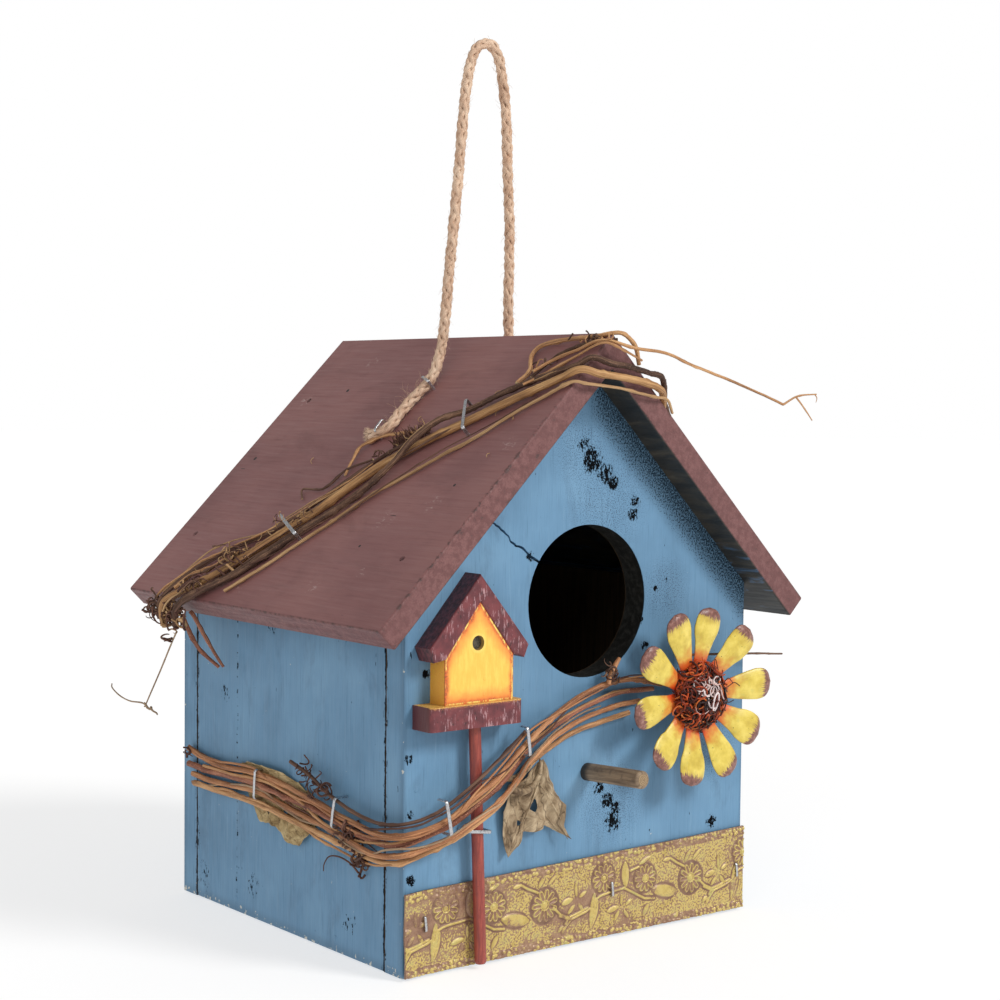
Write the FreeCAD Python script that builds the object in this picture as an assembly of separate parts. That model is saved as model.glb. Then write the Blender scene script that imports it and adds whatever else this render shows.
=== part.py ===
import FreeCAD, Part
import os, math

# Hanging wooden birdhouse, dressed with vine twigs, a small painted house on a
# pole, a painted metal flower and an embossed metal strip.
# Frame: millimetres, +Z up. The origin is the centre of the flat base. The front
# wall, with the entrance hole, faces -Y, and the left wall faces -X.

# ---------------------------------------------------------------- dimensions
WALL_W = 150.0          # width over the front wall
WALL_D = 140.0          # depth over front and back walls
WALL_T = 10.0           # board thickness of the four walls
FLOOR_T = 9.0
RIDGE_Z = 205.5         # height of the outer ridge line
ROOF_T = 8.7            # roof board thickness
ROOF_HALF = 92.9        # horizontal reach of each 45 degree roof panel
ROOF_FRONT = 11.7       # roof overhang past the front wall
ROOF_BACK = 9.1         # roof overhang past the back wall
EDGE_R = 0.5            # eased edges on the boards

HOLE_D = 51.6           # entrance hole
HOLE_X, HOLE_Z = 0.5, 115.8
PERCH_D = 6.0
PERCH_X, PERCH_Z = 1.2, 57.8
PERCH_OUT = 28.0        # how far the perch stands out of the wall
PERCH_TILT = 3.2        # degrees, tip up

CLEAN_W, CLEAN_H = 38.0, 46.0     # clean-out opening in the back wall
CLEAN_Z0 = 27.0
DOOR_W, DOOR_H, DOOR_T = 52.0, 68.0, 5.0
DOOR_Z0 = 22.0
PIVOT_Z = 82.0          # pivot screw of the clean-out door
PIVOT_SCREW_R = 1.75
PIVOT_HOLE_R = 1.80

ORN_X = -51.4           # centre line of the small painted house
POLE_R = 2.0
STRIP_T = 1.0           # embossed strip
ROPE_R = 1.9

FLOWER_X, FLOWER_Z, FLOWER_OFF = 42.2, 81.4, 8.6

YF = -WALL_D / 2.0      # front face
YB = WALL_D / 2.0       # back face
XL = -WALL_W / 2.0
INNER_RIDGE = RIDGE_Z - ROOF_T * math.sqrt(2.0)
WALL_TOP = INNER_RIDGE - WALL_W / 2.0

V = FreeCAD.Vector
os.makedirs("parts", exist_ok=True)


# ------------------------------------------------------------------- helpers
def save(name, shape):
    if isinstance(shape, (list, tuple)):
        shape = Part.makeCompound(list(shape))
    solids = shape.Solids
    for s in solids:
        if not s.isValid() or s.Volume <= 0:
            raise RuntimeError("bad solid in " + name)
    shape.exportStep("parts/" + name + ".step")
    b = shape.BoundBox
    print("%-24s solids %2d vol %9.1f  x %.1f..%.1f y %.1f..%.1f z %.1f..%.1f" % (
        name, len(solids), sum(s.Volume for s in solids), b.XMin, b.XMax, b.YMin, b.YMax, b.ZMin, b.ZMax))


def box(x0, x1, y0, y1, z0, z1):
    return Part.makeBox(x1 - x0, y1 - y0, z1 - z0, V(x0, y0, z0))


def prism_y(pts, y0, y1):
    """Profile in XZ, extruded along Y."""
    w = Part.makePolygon([V(x, y0, z) for x, z in pts] + [V(pts[0][0], y0, pts[0][1])])
    return Part.Face(w).extrude(V(0, y1 - y0, 0))


def prism_x(pts, x0, x1):
    """Profile in YZ, extruded along X."""
    w = Part.makePolygon([V(x0, y, z) for y, z in pts] + [V(x0, pts[0][0], pts[0][1])])
    return Part.Face(w).extrude(V(x1 - x0, 0, 0))


def route(points, report=None):
    """Straight runs joined by tangent arcs. Each arc takes 0.45 of its shorter run."""
    P = [V(*p) for p in points]
    edges = []
    radii = []
    cur = P[0]
    total = 0.0
    for i in range(1, len(P) - 1):
        a, b, c = P[i - 1], P[i], P[i + 1]
        d1 = (b - a).normalize()
        d2 = (c - b).normalize()
        l1, l2 = (b - a).Length, (c - b).Length
        turn = d1.getAngle(d2)
        if turn < math.radians(0.6):
            continue
        cut = 0.45 * min(l1, l2)
        r = cut / math.tan(turn / 2.0)
        radii.append(r)
        s = b - d1 * cut
        e = b + d2 * cut
        bis = (d2 - d1).normalize()
        centre = b + bis * (r / math.cos(turn / 2.0))
        mid = centre - bis * r
        if (s - cur).Length > 1e-4:
            edges.append(Part.LineSegment(cur, s).toShape())
            total += (s - cur).Length
        edges.append(Part.Arc(s, mid, e).toShape())
        total += r * turn
        cur = e
    edges.append(Part.LineSegment(cur, P[-1]).toShape())
    total += (P[-1] - cur).Length
    w = Part.Wire(edges)
    if report:
        print("%s route length %.1f, radii %s" % (report, total, " ".join("%.1f" % r for r in radii)))
    return w, total, radii


def tube(points, r, name="tube", report=False):
    w, total, radii = route(points, name if report else None)
    d = (V(*points[1]) - V(*points[0])).normalize()
    prof = Part.Wire([Part.Circle(V(*points[0]), d, r).toShape()])
    s = w.makePipeShell([prof], True, False)
    if s.ShapeType != "Solid":
        s = s.Solids[0]
    want = math.pi * r * r * total
    if abs(s.Volume - want) > 0.02 * want or not s.isValid():
        print("  check %s: volume %.2f, section times length %.2f, smallest radius %.2f, valid %s" % (
            name, s.Volume, want, min(radii) if radii else 0, s.isValid()))
    return s


def rod(a, b, r):
    a, b = V(*a), V(*b)
    return Part.makeCylinder(r, (b - a).Length, a, b - a)


def staple(a, b, inward, leg, r=0.5):
    """U of round wire: crown from a to b, legs driven along inward."""
    a, b, n = V(*a), V(*b), V(*inward).normalize()
    s = Part.makeCylinder(r, (b - a).Length, a, b - a)
    for p in (a, b):
        s = s.fuse(Part.makeCylinder(r, leg, p, n)).fuse(Part.makeSphere(r, p))
    return s.removeSplitter()


def brad(head, inward, length, r=0.7, head_r=1.1, head_t=0.8):
    h, n = V(*head), V(*inward).normalize()
    return Part.makeCylinder(head_r, head_t, h, n).fuse(
        Part.makeCylinder(r, length - 1.2, h, n)).fuse(
        Part.makeCone(r, 0.1, 1.2, h + n * (length - 1.2), n)).removeSplitter()


def slope(x, off):
    """Height of a point over the roof, standing off it square to the slope."""
    return RIDGE_Z - abs(x) + off * math.sqrt(2.0)


def ease(shape, r, keep=lambda e: True):
    es = [e for e in shape.Edges if keep(e)]
    try:
        f = shape.makeFillet(r, es)
        if f.isValid() and abs(f.Volume - shape.Volume) < 0.05 * shape.Volume:
            return f
    except Exception:
        pass
    return shape


# --------------------------------------------------------------------- walls
gable = [(XL, 0), (-XL, 0), (-XL, WALL_TOP), (0, INNER_RIDGE), (XL, WALL_TOP)]

front = prism_y(gable, YF, YF + WALL_T)
front = ease(front, EDGE_R, lambda e: abs(e.BoundBox.XLength) < 1e-6 and e.BoundBox.ZLength > 50
             and abs(e.BoundBox.YMin - YF) < 1e-6)
front = front.cut(Part.makeCylinder(HOLE_D / 2, WALL_T + 4, V(HOLE_X, YF - 2, HOLE_Z), V(0, 1, 0)))
t = math.radians(PERCH_TILT)
pdir = V(0, -math.cos(t), math.sin(t))
pbase = V(PERCH_X, YF, PERCH_Z)
front = front.cut(Part.makeCylinder(PERCH_D / 2 + 0.03, 30, pbase - pdir * 15, pdir))
save("front_wall", front)

back = prism_y(gable, YB - WALL_T, YB)
back = ease(back, EDGE_R, lambda e: abs(e.BoundBox.XLength) < 1e-6 and e.BoundBox.ZLength > 50
            and abs(e.BoundBox.YMax - YB) < 1e-6)
back = back.cut(box(-CLEAN_W / 2, CLEAN_W / 2, YB - WALL_T - 2, YB + 2, CLEAN_Z0, CLEAN_Z0 + CLEAN_H))
back = back.cut(Part.makeCylinder(1.3, WALL_T + 4, V(0, YB - WALL_T - 2, PIVOT_Z), V(0, 1, 0)))
save("back_wall", back)

SIDE_TOP = WALL_TOP - 0.2
left = box(XL, XL + WALL_T, YF + WALL_T, YB - WALL_T, 0, SIDE_TOP)
save("left_wall", ease(left, EDGE_R, lambda e: e.BoundBox.YLength > 50 and e.BoundBox.XMax < XL + 1 and e.BoundBox.ZMax < 1))
right = box(-XL - WALL_T, -XL, YF + WALL_T, YB - WALL_T, 0, SIDE_TOP)
save("right_wall", ease(right, EDGE_R, lambda e: e.BoundBox.YLength > 50 and e.BoundBox.XMin > -XL - 1 and e.BoundBox.ZMax < 1))
save("floor_board", box(XL + WALL_T, -XL - WALL_T, YF + WALL_T, YB - WALL_T, 0, FLOOR_T))

# Brads: front and back boards into the side boards, side boards into the floor.
wb = []
for sx in (-1, 1):
    for z in (14, 60, 106):
        wb.append(brad((sx * 70, YF, z), (0, 1, 0), 26))
        wb.append(brad((sx * 70, YB, z), (0, -1, 0), 26))
    for y in (-32, 32):
        wb.append(brad((sx * 75, y, 4.5), (-sx, 0, 0), 24))
save("wall_brads", wb)

# ---------------------------------------------------------------------- roof
y0, y1 = YF - ROOF_FRONT, YB + ROOF_BACK
k = ROOF_T / math.sqrt(2.0)
panel = [(0, RIDGE_Z), (-ROOF_HALF, RIDGE_Z - ROOF_HALF), (-ROOF_HALF + k, RIDGE_Z - ROOF_HALF - k), (0, INNER_RIDGE)]


def roof_panel(sign):
    p = prism_y([(sign * -x, z) for x, z in panel], y0, y1)
    return ease(p, 0.8, lambda e: not (abs(e.BoundBox.XMin) < 1e-3 and abs(e.BoundBox.XMax) < 1e-3))


save("roof_panel_left", roof_panel(-1))
save("roof_panel_right", roof_panel(1))

rb = []
n = math.sqrt(0.5)
for sx in (-1, 1):
    for ax in (23.5, 72.6):
        for y in (YF + 5, YB - 4):
            rb.append(brad((sx * ax, y, RIDGE_Z - ax), (-sx * n, 0, -n), 24))
save("roof_brads", rb)

# --------------------------------------------------------------------- perch
perch = Part.makeCylinder(PERCH_D / 2, PERCH_OUT + 9.0, pbase - pdir * 9.0, pdir)
perch = ease(perch, 0.4, lambda e: e.BoundBox.YMax < YF - 10)
save("perch_dowel", perch)

# ------------------------------------------------- clean-out door, on the back
door = box(-DOOR_W / 2, DOOR_W / 2, YB + 0.2, YB + 0.2 + DOOR_T, DOOR_Z0, DOOR_Z0 + DOOR_H)
door = ease(door, 3.0, lambda e: e.BoundBox.YLength > 3 and e.BoundBox.XLength < 1e-6 and e.BoundBox.ZLength < 1e-6)
door = ease(door, 0.6, lambda e: e.BoundBox.YLength < 0.01 and e.BoundBox.YMin > YB + 3)
door = door.cut(Part.makeCylinder(PIVOT_HOLE_R, 20, V(0, YB - 2, PIVOT_Z), V(0, 1, 0)))
save("cleanout_door", door)
yw = YB + 0.2 + DOOR_T + 0.1
washer = Part.makeCylinder(4.5, 0.8, V(0, yw, PIVOT_Z), V(0, 1, 0)).cut(
    Part.makeCylinder(PIVOT_SCREW_R + 0.05, 3, V(0, yw - 1, PIVOT_Z), V(0, 1, 0)))
save("cleanout_washer", washer)
yh = yw + 0.8
screw = Part.makeCylinder(PIVOT_SCREW_R, yh - (YB - 9.0), V(0, YB - 9.0, PIVOT_Z), V(0, 1, 0))
screw = screw.fuse(Part.makeCone(0.2, PIVOT_SCREW_R, 2.5, V(0, YB - 11.5, PIVOT_Z), V(0, 1, 0)))
head = Part.makeSphere(3.9, V(0, yh - 1.6, PIVOT_Z)).common(
    Part.makeCylinder(3.5, 2.4, V(0, yh, PIVOT_Z), V(0, 1, 0)))
screw = screw.fuse(head).removeSplitter()
for w_, h_ in ((4.2, 0.9), (0.9, 4.2)):
    screw = screw.cut(box(-w_ / 2, w_ / 2, yh + 0.9, yh + 4, PIVOT_Z - h_ / 2, PIVOT_Z + h_ / 2))
save("cleanout_screw", screw)

# --------------------------------------------- small painted house on its pole
yo = YF - 8.0
ob = [(ORN_X - 13.6, 87.0), (ORN_X + 13.6, 87.0), (ORN_X + 13.6, 101.6), (ORN_X, 119.2), (ORN_X - 13.6, 101.6)]
obody = prism_y(ob, yo, YF)
obody = obody.cut(Part.makeCylinder(2.35, 1.6, V(ORN_X - 0.6, yo, 106.1), V(0, 1, 0)))
save("ornament_body", obody)
oroof = [(ORN_X, 128.0), (ORN_X - 19.8, 105.4), (ORN_X - 18.0, 100.9), (ORN_X - 13.6, 101.6),
         (ORN_X, 119.2), (ORN_X + 13.6, 101.6), (ORN_X + 18.0, 100.2), (ORN_X + 19.8, 104.4)]
oroof_s = prism_y(oroof, yo - 0.6, YF)
oroof_s = ease(oroof_s, 0.7, lambda e: e.BoundBox.YMax < yo - 0.5 and e.BoundBox.YLength < 1e-6)
save("ornament_roof", oroof_s)
ledge = box(ORN_X - 20.4, ORN_X + 16.8, YF - 9.6, YF, 79.3, 87.0)
ledge = ease(ledge, 2.0, lambda e: e.BoundBox.YLength < 1e-6 and e.BoundBox.ZLength > 6 and e.BoundBox.YMax < YF - 5)
save("ornament_ledge", ledge)
pole_top = (ORN_X + 1.2, YF - 4.1, 79.3)
pole_bot = (-46.9, YF - 4.1, 1.4)
save("ornament_pole", rod(pole_bot, pole_top, POLE_R).common(box(-70, -30, YF - 12, YF, 0, 79.3)))
save("ornament_brads", [brad((-49.3, yo, 94.6), (0, 1, 0), 15, 0.5, 0.7, 0.5),
                        brad((-49.3, yo, 89.6), (0, 1, 0), 15, 0.5, 0.7, 0.5)])
save("pole_staple", staple((-53.6, YF - 6.75, 45.6), (-45.0, YF - 6.75, 44.4), (0, 1, 0), 13.5))

# ------------------------------------------------------------ embossed strip
strip = prism_y([(-75.2, 0.4), (75.2, 0.4), (75.4, 30.0), (-75.4, 27.3)], YF - 0.2 - STRIP_T, YF - 0.2)
save("embossed_strip", strip)
ss = []
for x, z in ((-67.5, 16.8), (11.5, 16.3), (71.2, 14.5)):
    ss.append(staple((x, YF - 1.7, z + 2.3), (x, YF - 1.7, z - 2.3), (0, 1, 0), 8.0, 0.4))
save("strip_staples", ss)

# -------------------------------------------------------------------- flower
yf = YF - FLOWER_OFF
angles = [(116.2, 32.0), (84.5, 30.6), (44.5, 31.0), (5.0, 32.8), (-30.2, 31.2), (-64.5, 31.4),
          (-99.0, 30.8), (-133.5, 30.2), (-172.5, 31.6), (150.6, 32.6)]
hub = Part.makeCylinder(9.0, 0.8, V(0, 0, 0), V(0, 0, 1))
for a, R in angles:
    pts = [V(5, -2.4, 0), V(10, -2.6, 0), V(17, -4.0, 0), V(R - 7, -5.4, 0), V(R - 2.4, -4.2, 0), V(R, 0, 0),
           V(R - 2.4, 4.2, 0), V(R - 7, 5.4, 0), V(17, 4.0, 0), V(10, 2.6, 0), V(5, 2.4, 0)]
    face = Part.Face(Part.makePolygon(pts + [pts[0]]))
    petal = face.extrude(V(0, 0, 0.8))
    petal.rotate(V(5, 0, 0), V(0, 1, 0), -11.0)
    petal.rotate(V(0, 0, 0), V(0, 0, 1), a)
    hub = hub.fuse(petal)
hub = hub.removeSplitter()
# local +Z becomes -Y (out of the wall), local X stays X, local Y becomes Z
hub.rotate(V(0, 0, 0), V(1, 0, 0), 90)
hub.translate(V(FLOWER_X, yf, FLOWER_Z))
hub = hub.cut(Part.makeCylinder(1.0, 30, V(FLOWER_X, yf - 15, FLOWER_Z), V(0, 1, 0)))
save("flower_petals", hub)
tuft = Part.makeSphere(10.0, V(0, 0, 0))
tuft = tuft.common(Part.makeBox(30, 30, 20, V(-15, -15, 0)))
m = FreeCAD.Matrix()
m.scale(1.0, 1.0, 0.92)
tuft = tuft.transformGeometry(m)
tuft.rotate(V(0, 0, 0), V(1, 0, 0), 90)
tuft.translate(V(FLOWER_X, yf - 1.0, FLOWER_Z))
petal_clear = tuft.cut(hub)
tuft = petal_clear.Solids[0] if len(petal_clear.Solids) == 1 else max(petal_clear.Solids, key=lambda s: s.Volume)
nail = brad((FLOWER_X, yf - 3.4, FLOWER_Z), (0, 1, 0), 20, 0.9, 2.0, 0.9)
tuft = tuft.cut(Part.makeCylinder(2.05, 4.6, V(FLOWER_X, yf - 3.6, FLOWER_Z), V(0, 1, 0)))
tuft = max(tuft.Solids, key=lambda s: s.Volume)
save("flower_centre", tuft)
save("flower_nail", nail)

# ---------------------------------------------------- vine across the walls
# Five stems run from the back of the left wall, round the front corner, over the
# pole and up to the flower.
WALL_VINE = {
    "wall_vine_stem_1": (1.0, [(-78.4, -9.0, 60.5), (-78.4, -20.9, 57.4), (-78.4, -31.1, 54.0), (-78.6, -40.2, 51.2),
                               (-79.0, -49.5, 49.6), (-79.4, -60.0, 49.0), (-79.6, -68.5, 49.6), (-77.6, -74.6, 50.6),
                               (-71.0, -77.0, 52.4), (-64.1, -78.2, 55.2), (-57.0, -79.8, 59.8), (-48.8, -79.0, 64.6),
                               (-39.4, -77.0, 69.6), (-30.5, -75.6, 75.4)]),
    "wall_vine_stem_2": (1.15, [(-76.6, 63.5, 54.2), (-76.6, 51.0, 52.2), (-76.9, 38.0, 51.3), (-77.1, 20.7, 52.3),
                                (-77.2, 7.5, 52.0), (-77.4, -8.3, 50.9), (-77.6, -21.6, 49.4), (-78.2, -35.2, 47.6),
                                (-79.0, -49.0, 46.4), (-80.0, -61.5, 45.8), (-80.4, -70.0, 46.4), (-77.8, -76.6, 47.4),
                                (-71.4, -79.2, 49.2), (-63.8, -80.0, 52.0), (-56.9, -80.6, 56.2), (-47.9, -79.6, 60.6),
                                (-38.5, -77.2, 65.6), (-28.5, -75.6, 72.6), (-14.0, -73.8, 80.6), (-3.2, -73.0, 85.0),
                                (9.2, -73.0, 87.8), (20.0, -73.4, 88.0), (31.0, -74.2, 85.6)]),
    "wall_vine_stem_3": (1.2, [(-76.6, 63.5, 48.6), (-76.6, 50.0, 48.0), (-76.9, 36.5, 48.5), (-77.0, 19.6, 48.9),
                               (-77.0, 7.0, 48.4), (-77.0, -4.4, 47.4), (-77.0, -18.0, 46.4), (-77.0, -31.2, 44.8),
                               (-77.2, -45.0, 43.1), (-77.6, -58.0, 42.2), (-78.0, -67.5, 42.6), (-76.4, -72.8, 43.8),
                               (-70.7, -75.0, 45.6), (-62.5, -77.2, 48.8), (-55.1, -78.2, 52.8), (-46.4, -77.4, 57.1),
                               (-37.3, -75.2, 62.0), (-25.5, -72.9, 70.2), (-9.1, -71.7, 77.8), (2.3, -71.6, 81.6),
                               (14.5, -71.6, 84.0), (28.9, -72.0, 84.0)]),
    "wall_vine_stem_4": (1.1, [(-76.5, 60.6, 45.2), (-76.5, 47.8, 44.9), (-76.8, 32.7, 45.4), (-76.9, 19.1, 45.9),
                               (-76.9, 6.0, 45.4), (-76.9, -6.0, 43.8), (-76.9, -23.1, 42.2), (-77.8, -38.0, 41.0),
                               (-79.6, -50.2, 39.9), (-80.6, -61.0, 39.2), (-80.4, -69.0, 39.8), (-77.8, -75.2, 41.0),
                               (-71.4, -77.6, 42.8), (-63.9, -80.2, 45.6), (-56.7, -81.0, 49.2), (-46.1, -80.1, 53.4),
                               (-37.2, -77.9, 58.4), (-27.7, -75.6, 66.0), (-14.7, -73.2, 72.4), (-1.8, -71.7, 76.4),
                               (10.7, -71.5, 79.2), (23.0, -71.5, 80.2)]),
    "wall_vine_stem_5": (1.15, [(-76.6, 59.5, 42.0), (-76.6, 45.6, 41.7), (-76.8, 31.6, 42.0), (-76.9, 18.0, 42.1),
                                (-76.9, 5.9, 41.4), (-76.9, -8.0, 40.1), (-76.9, -23.1, 38.8), (-76.9, -38.0, 37.5),
                                (-77.2, -50.0, 36.6), (-77.6, -61.0, 36.2), (-77.6, -68.0, 37.0), (-75.8, -72.0, 38.2),
                                (-70.2, -73.9, 40.0), (-62.1, -76.9, 43.4), (-54.8, -78.3, 47.0), (-43.0, -76.8, 52.4),
                                (-34.4, -74.2, 57.4), (-23.2, -72.2, 65.2), (-8.0, -71.5, 71.6), (5.5, -71.5, 74.4),
                                (18.3, -71.6, 76.6)]),
}
for name, (r, pts) in WALL_VINE.items():
    save(name, tube(pts, r, name))

save("wall_vine_staples", [
    staple((-79.0, 14.0, 55.2), (-79.0, 15.5, 40.2), (1, 0, 0), 12.0),
    staple((-80.2, -38.0, 53.8), (-80.2, -33.4, 35.4), (1, 0, 0), 13.0),
    staple((-66.6, -82.7, 56.0), (-58.4, -82.7, 40.8), (0, 1, 0), 20.0),
    staple((-31.8, -77.9, 78.2), (-23.0, -77.9, 62.4), (0, 1, 0), 16.0)])

# Thin side growth of that vine.
save("wall_vine_tendrils", [
    tube([(-78.4, -50.9, 34.6), (-78.2, -46.6, 31.4), (-77.4, -45.4, 28.4), (-76.6, -42.2, 28.2),
          (-76.4, -37.4, 29.8), (-76.2, -32.0, 29.4), (-76.0, -28.0, 26.0)], 0.45, "tendril"),
    tube([(6.0, -74.6, 87.9), (6.6, -74.8, 90.4), (8.6, -74.4, 93.2), (11.5, -74.0, 96.1)], 0.9, "hook"),
    tube([(46.0, -73.2, 94.6), (60.0, -74.2, 94.0), (75.1, -75.0, 93.1), (89.5, -75.2, 92.0)], 0.4, "stick")])

# -------------------------------------------------------------- dried leaves
leaf_s = prism_x([(28.3, 53.6), (19.0, 57.0), (10.8, 57.6), (-3.1, 57.4), (-13.7, 55.6), (-18.5, 52.4), (-26.0, 43.1),
                  (-16.7, 36.0), (-8.0, 34.6), (2.7, 36.5), (13.7, 38.9), (20.0, 41.7)], -75.45, -75.05)
save("leaf_side", leaf_s)
leaf_f = prism_y([(-23.7, 64.0), (-21.3, 60.0), (-12.0, 54.0), (-10.7, 47.3), (-14.7, 43.5), (-20.2, 40.5),
                  (-27.2, 38.3), (-33.5, 37.0), (-37.1, 35.0), (-37.4, 48.0), (-38.3, 53.4), (-31.0, 58.0)], -71.1, -70.5)
save("leaf_front", leaf_f)

# ------------------------------------------------------- vine over the roof
ROOF_VINE = {
    "roof_vine_stem_1": (1.4, [(-96.8, 45.2, 102.6), (-97.6, 44.0, 110.2), (-94.0, 36.9, slope(94.0, 2.8)),
                               (-86.6, 26.6, slope(86.6, 1.8)), (-78.6, 16.4, slope(78.6, 1.7)), (-71.0, 7.4, slope(71.0, 1.7)),
                               (-63.4, -1.6, slope(63.4, 1.7)), (-54.4, -10.0, slope(54.4, 1.7)),
                               (-46.6, -18.4, slope(46.6, 1.7)), (-39.6, -29.4, slope(39.6, 1.7)),
                               (-32.6, -43.8, slope(32.6, 1.7)), (-24.4, -62.0, slope(24.4, 1.9)),
                               (-18.2, -76.6, slope(18.2, 2.2)), (-15.0, -83.0, slope(15.0, 2.0)),
                               (-8.6, -85.4, 192.0), (2.5, -85.7, 190.8), (12.0, -85.4, 189.0), (18.4, -84.0, 187.6),
                               (23.6, -80.6, slope(23.6, 2.6)), (28.6, -75.4, slope(28.6, 2.0)), (33.0, -70.0, slope(33.0, 1.8))]),
    "roof_vine_stem_2": (1.3, [(-97.0, 36.6, 103.0), (-97.4, 34.8, 109.9), (-93.4, 27.2, slope(93.4, 2.6)),
                               (-86.8, 18.2, slope(86.8, 1.6)), (-79.3, 8.6, slope(79.3, 1.6)), (-71.6, 0.2, slope(71.6, 1.6)),
                               (-64.6, -8.4, slope(64.6, 1.6)), (-57.4, -16.6, slope(57.4, 1.7)),
                               (-49.6, -24.2, slope(49.6, 2.9)), (-43.0, -29.8, slope(43.0, 5.1)),
                               (-36.2, -35.2, slope(36.2, 4.9)), (-29.0, -41.8, slope(29.0, 2.3)),
                               (-21.4, -55.0, slope(21.4, 1.7)), (-15.8, -71.0, slope(15.8, 1.8)),
                               (-13.4, -79.2, slope(13.4, 2.0)), (-10.6, -83.4, slope(10.6, 1.7)), (-4.0, -85.0, 195.4),
                               (4.5, -85.2, 194.4), (14.0, -84.8, 192.4), (20.4, -83.4, 191.2),
                               (25.6, -79.4, slope(25.6, 5.4)), (30.4, -74.0, slope(30.4, 5.2)), (35.8, -71.2, slope(35.8, 5.0))]),
    "roof_vine_stem_3": (0.65, [(-90.0, 15.4, slope(90.0, 1.0)), (-82.0, 4.6, slope(82.0, 1.0)), (-73.6, -4.6, slope(73.6, 1.0)),
                                (-64.6, -14.8, slope(64.6, 1.0)), (-57.0, -23.0, slope(57.0, 1.1)),
                                (-48.6, -36.0, slope(48.6, 1.0)), (-41.6, -46.0, slope(41.6, 1.0)),
                                (-34.6, -57.0, slope(34.6, 1.0)), (-28.0, -66.0, slope(28.0, 1.1)),
                                (-21.0, -76.6, slope(21.0, 1.2)), (-18.0, -82.2, slope(18.0, 1.2)), (-12.4, -84.2, 188.6),
                                (-1.0, -84.4, 187.6), (9.0, -84.2, 185.8), (17.4, -83.6, 184.4), (23.6, -82.9, 183.6),
                                (28.4, -80.4, slope(28.4, 1.5))]),
    "roof_vine_stem_4": (0.9, [(-95.6, 51.0, 104.4), (-96.2, 50.0, 110.2), (-92.0, 47.4, slope(92.0, 1.7)),
                               (-84.0, 42.6, slope(84.0, 1.2)), (-77.0, 31.4, slope(77.0, 1.2)), (-71.2, 17.8, slope(71.2, 1.2)),
                               (-65.6, 9.4, slope(65.6, 1.2)), (-58.6, 1.8, slope(58.6, 1.2)), (-51.4, -4.6, slope(51.4, 1.2)),
                               (-44.6, -12.0, slope(44.6, 1.2)), (-38.4, -22.0, slope(38.4, 1.2))]),
    "roof_vine_stem_5": (0.75, [(-94.6, 41.6, slope(94.6, 3.6)), (-90.5, 36.8, slope(90.5, 4.2)),
                                (-86.0, 33.0, slope(86.0, 2.4)), (-81.4, 30.0, slope(81.4, 1.4)),
                                (-76.6, 23.2, slope(76.6, 1.0))]),
}
for name, (r, pts) in ROOF_VINE.items():
    save(name, tube(pts, r, name))

save("ridge_twig", tube([(-18.6, -57.4, slope(18.6, 4.6)), (-14.0, -52.4, slope(14.0, 1.9)), (-7.4, -52.4, slope(7.4, 1.8)),
                         (-2.4, -60.0, 207.2), (0.2, -70.0, 207.8), (1.6, -80.0, 207.4), (5.4, -86.4, 206.4),
                         (10.0, -87.4, 202.8), (12.8, -86.6, 198.6), (13.8, -84.2, 195.2)], 0.95, "ridge_twig"))
save("long_twig", [
    tube([(-19.0, -63.4, slope(19.0, 4.4)), (-12.4, -66.4, slope(12.4, 2.4)), (-7.4, -73.6, slope(7.4, 1.4)),
          (-5.0, -82.6, slope(5.0, 1.8)), (4.0, -87.8, 200.6), (16.0, -89.4, 199.2), (30.0, -87.8, 195.6), (53.0, -85.6, 189.8),
          (78.6, -84.0, 182.4)],
         0.55, "long_twig"),
    tube([(79.4, -84.0, 182.6), (86.0, -84.0, 185.4), (95.4, -84.2, 186.2)], 0.4, "fork_a"),
    tube([(85.6, -84.0, 184.2), (89.6, -84.0, 181.0), (93.4, -84.2, 176.8)], 0.35, "fork_b")])
save("roof_side_twigs", [
    tube([(-57.0, 4.4, slope(57.0, 0.7)), (-50.5, 4.0, slope(50.5, 0.9)), (-45.4, 5.4, slope(45.4, 0.9)),
          (-41.4, 4.4, slope(41.4, 0.8))], 0.5, "side_twig_a"),
    tube([(-47.6, -1.0, slope(47.6, 0.7)), (-50.6, 2.0, slope(50.6, 2.3)), (-54.0, 8.6, slope(54.0, 0.8)),
          (-55.6, 19.0, slope(55.6, 0.7)), (-59.2, 16.4, slope(59.2, 0.7))], 0.35, "side_twig_b")])
save("eave_twigs", [
    tube([(-88.6, 42.8, 104.4), (-85.0, 41.0, 98.6), (-82.0, 37.3, 92.9), (-79.8, 33.4, 88.4)], 0.85, "eave_a"),
    tube([(-90.6, 47.6, 101.0), (-86.0, 44.4, 94.5), (-82.0, 40.6, 89.4), (-80.0, 36.6, 86.6)], 0.75, "eave_b")])
save("hanging_tendril", tube([(-95.0, 40.6, 99.2), (-95.0, 51.3, 85.3), (-95.0, 61.4, 72.6), (-95.0, 70.8, 69.9),
                              (-95.0, 79.0, 71.7), (-95.0, 88.0, 75.4)], 0.35, "hanging_tendril"))
save("roof_vine_staples", [
    staple((-68.6, 14.6, slope(68.6, 4.0)), (-73.6, -2.8, slope(73.6, 4.0)), (n, 0, -n), 9.0),
    staple((-28.7, -39.6, slope(28.7, 4.6)), (-37.0, -48.6, slope(37.0, 3.9)), (n, 0, -n), 10.0)])

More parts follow.
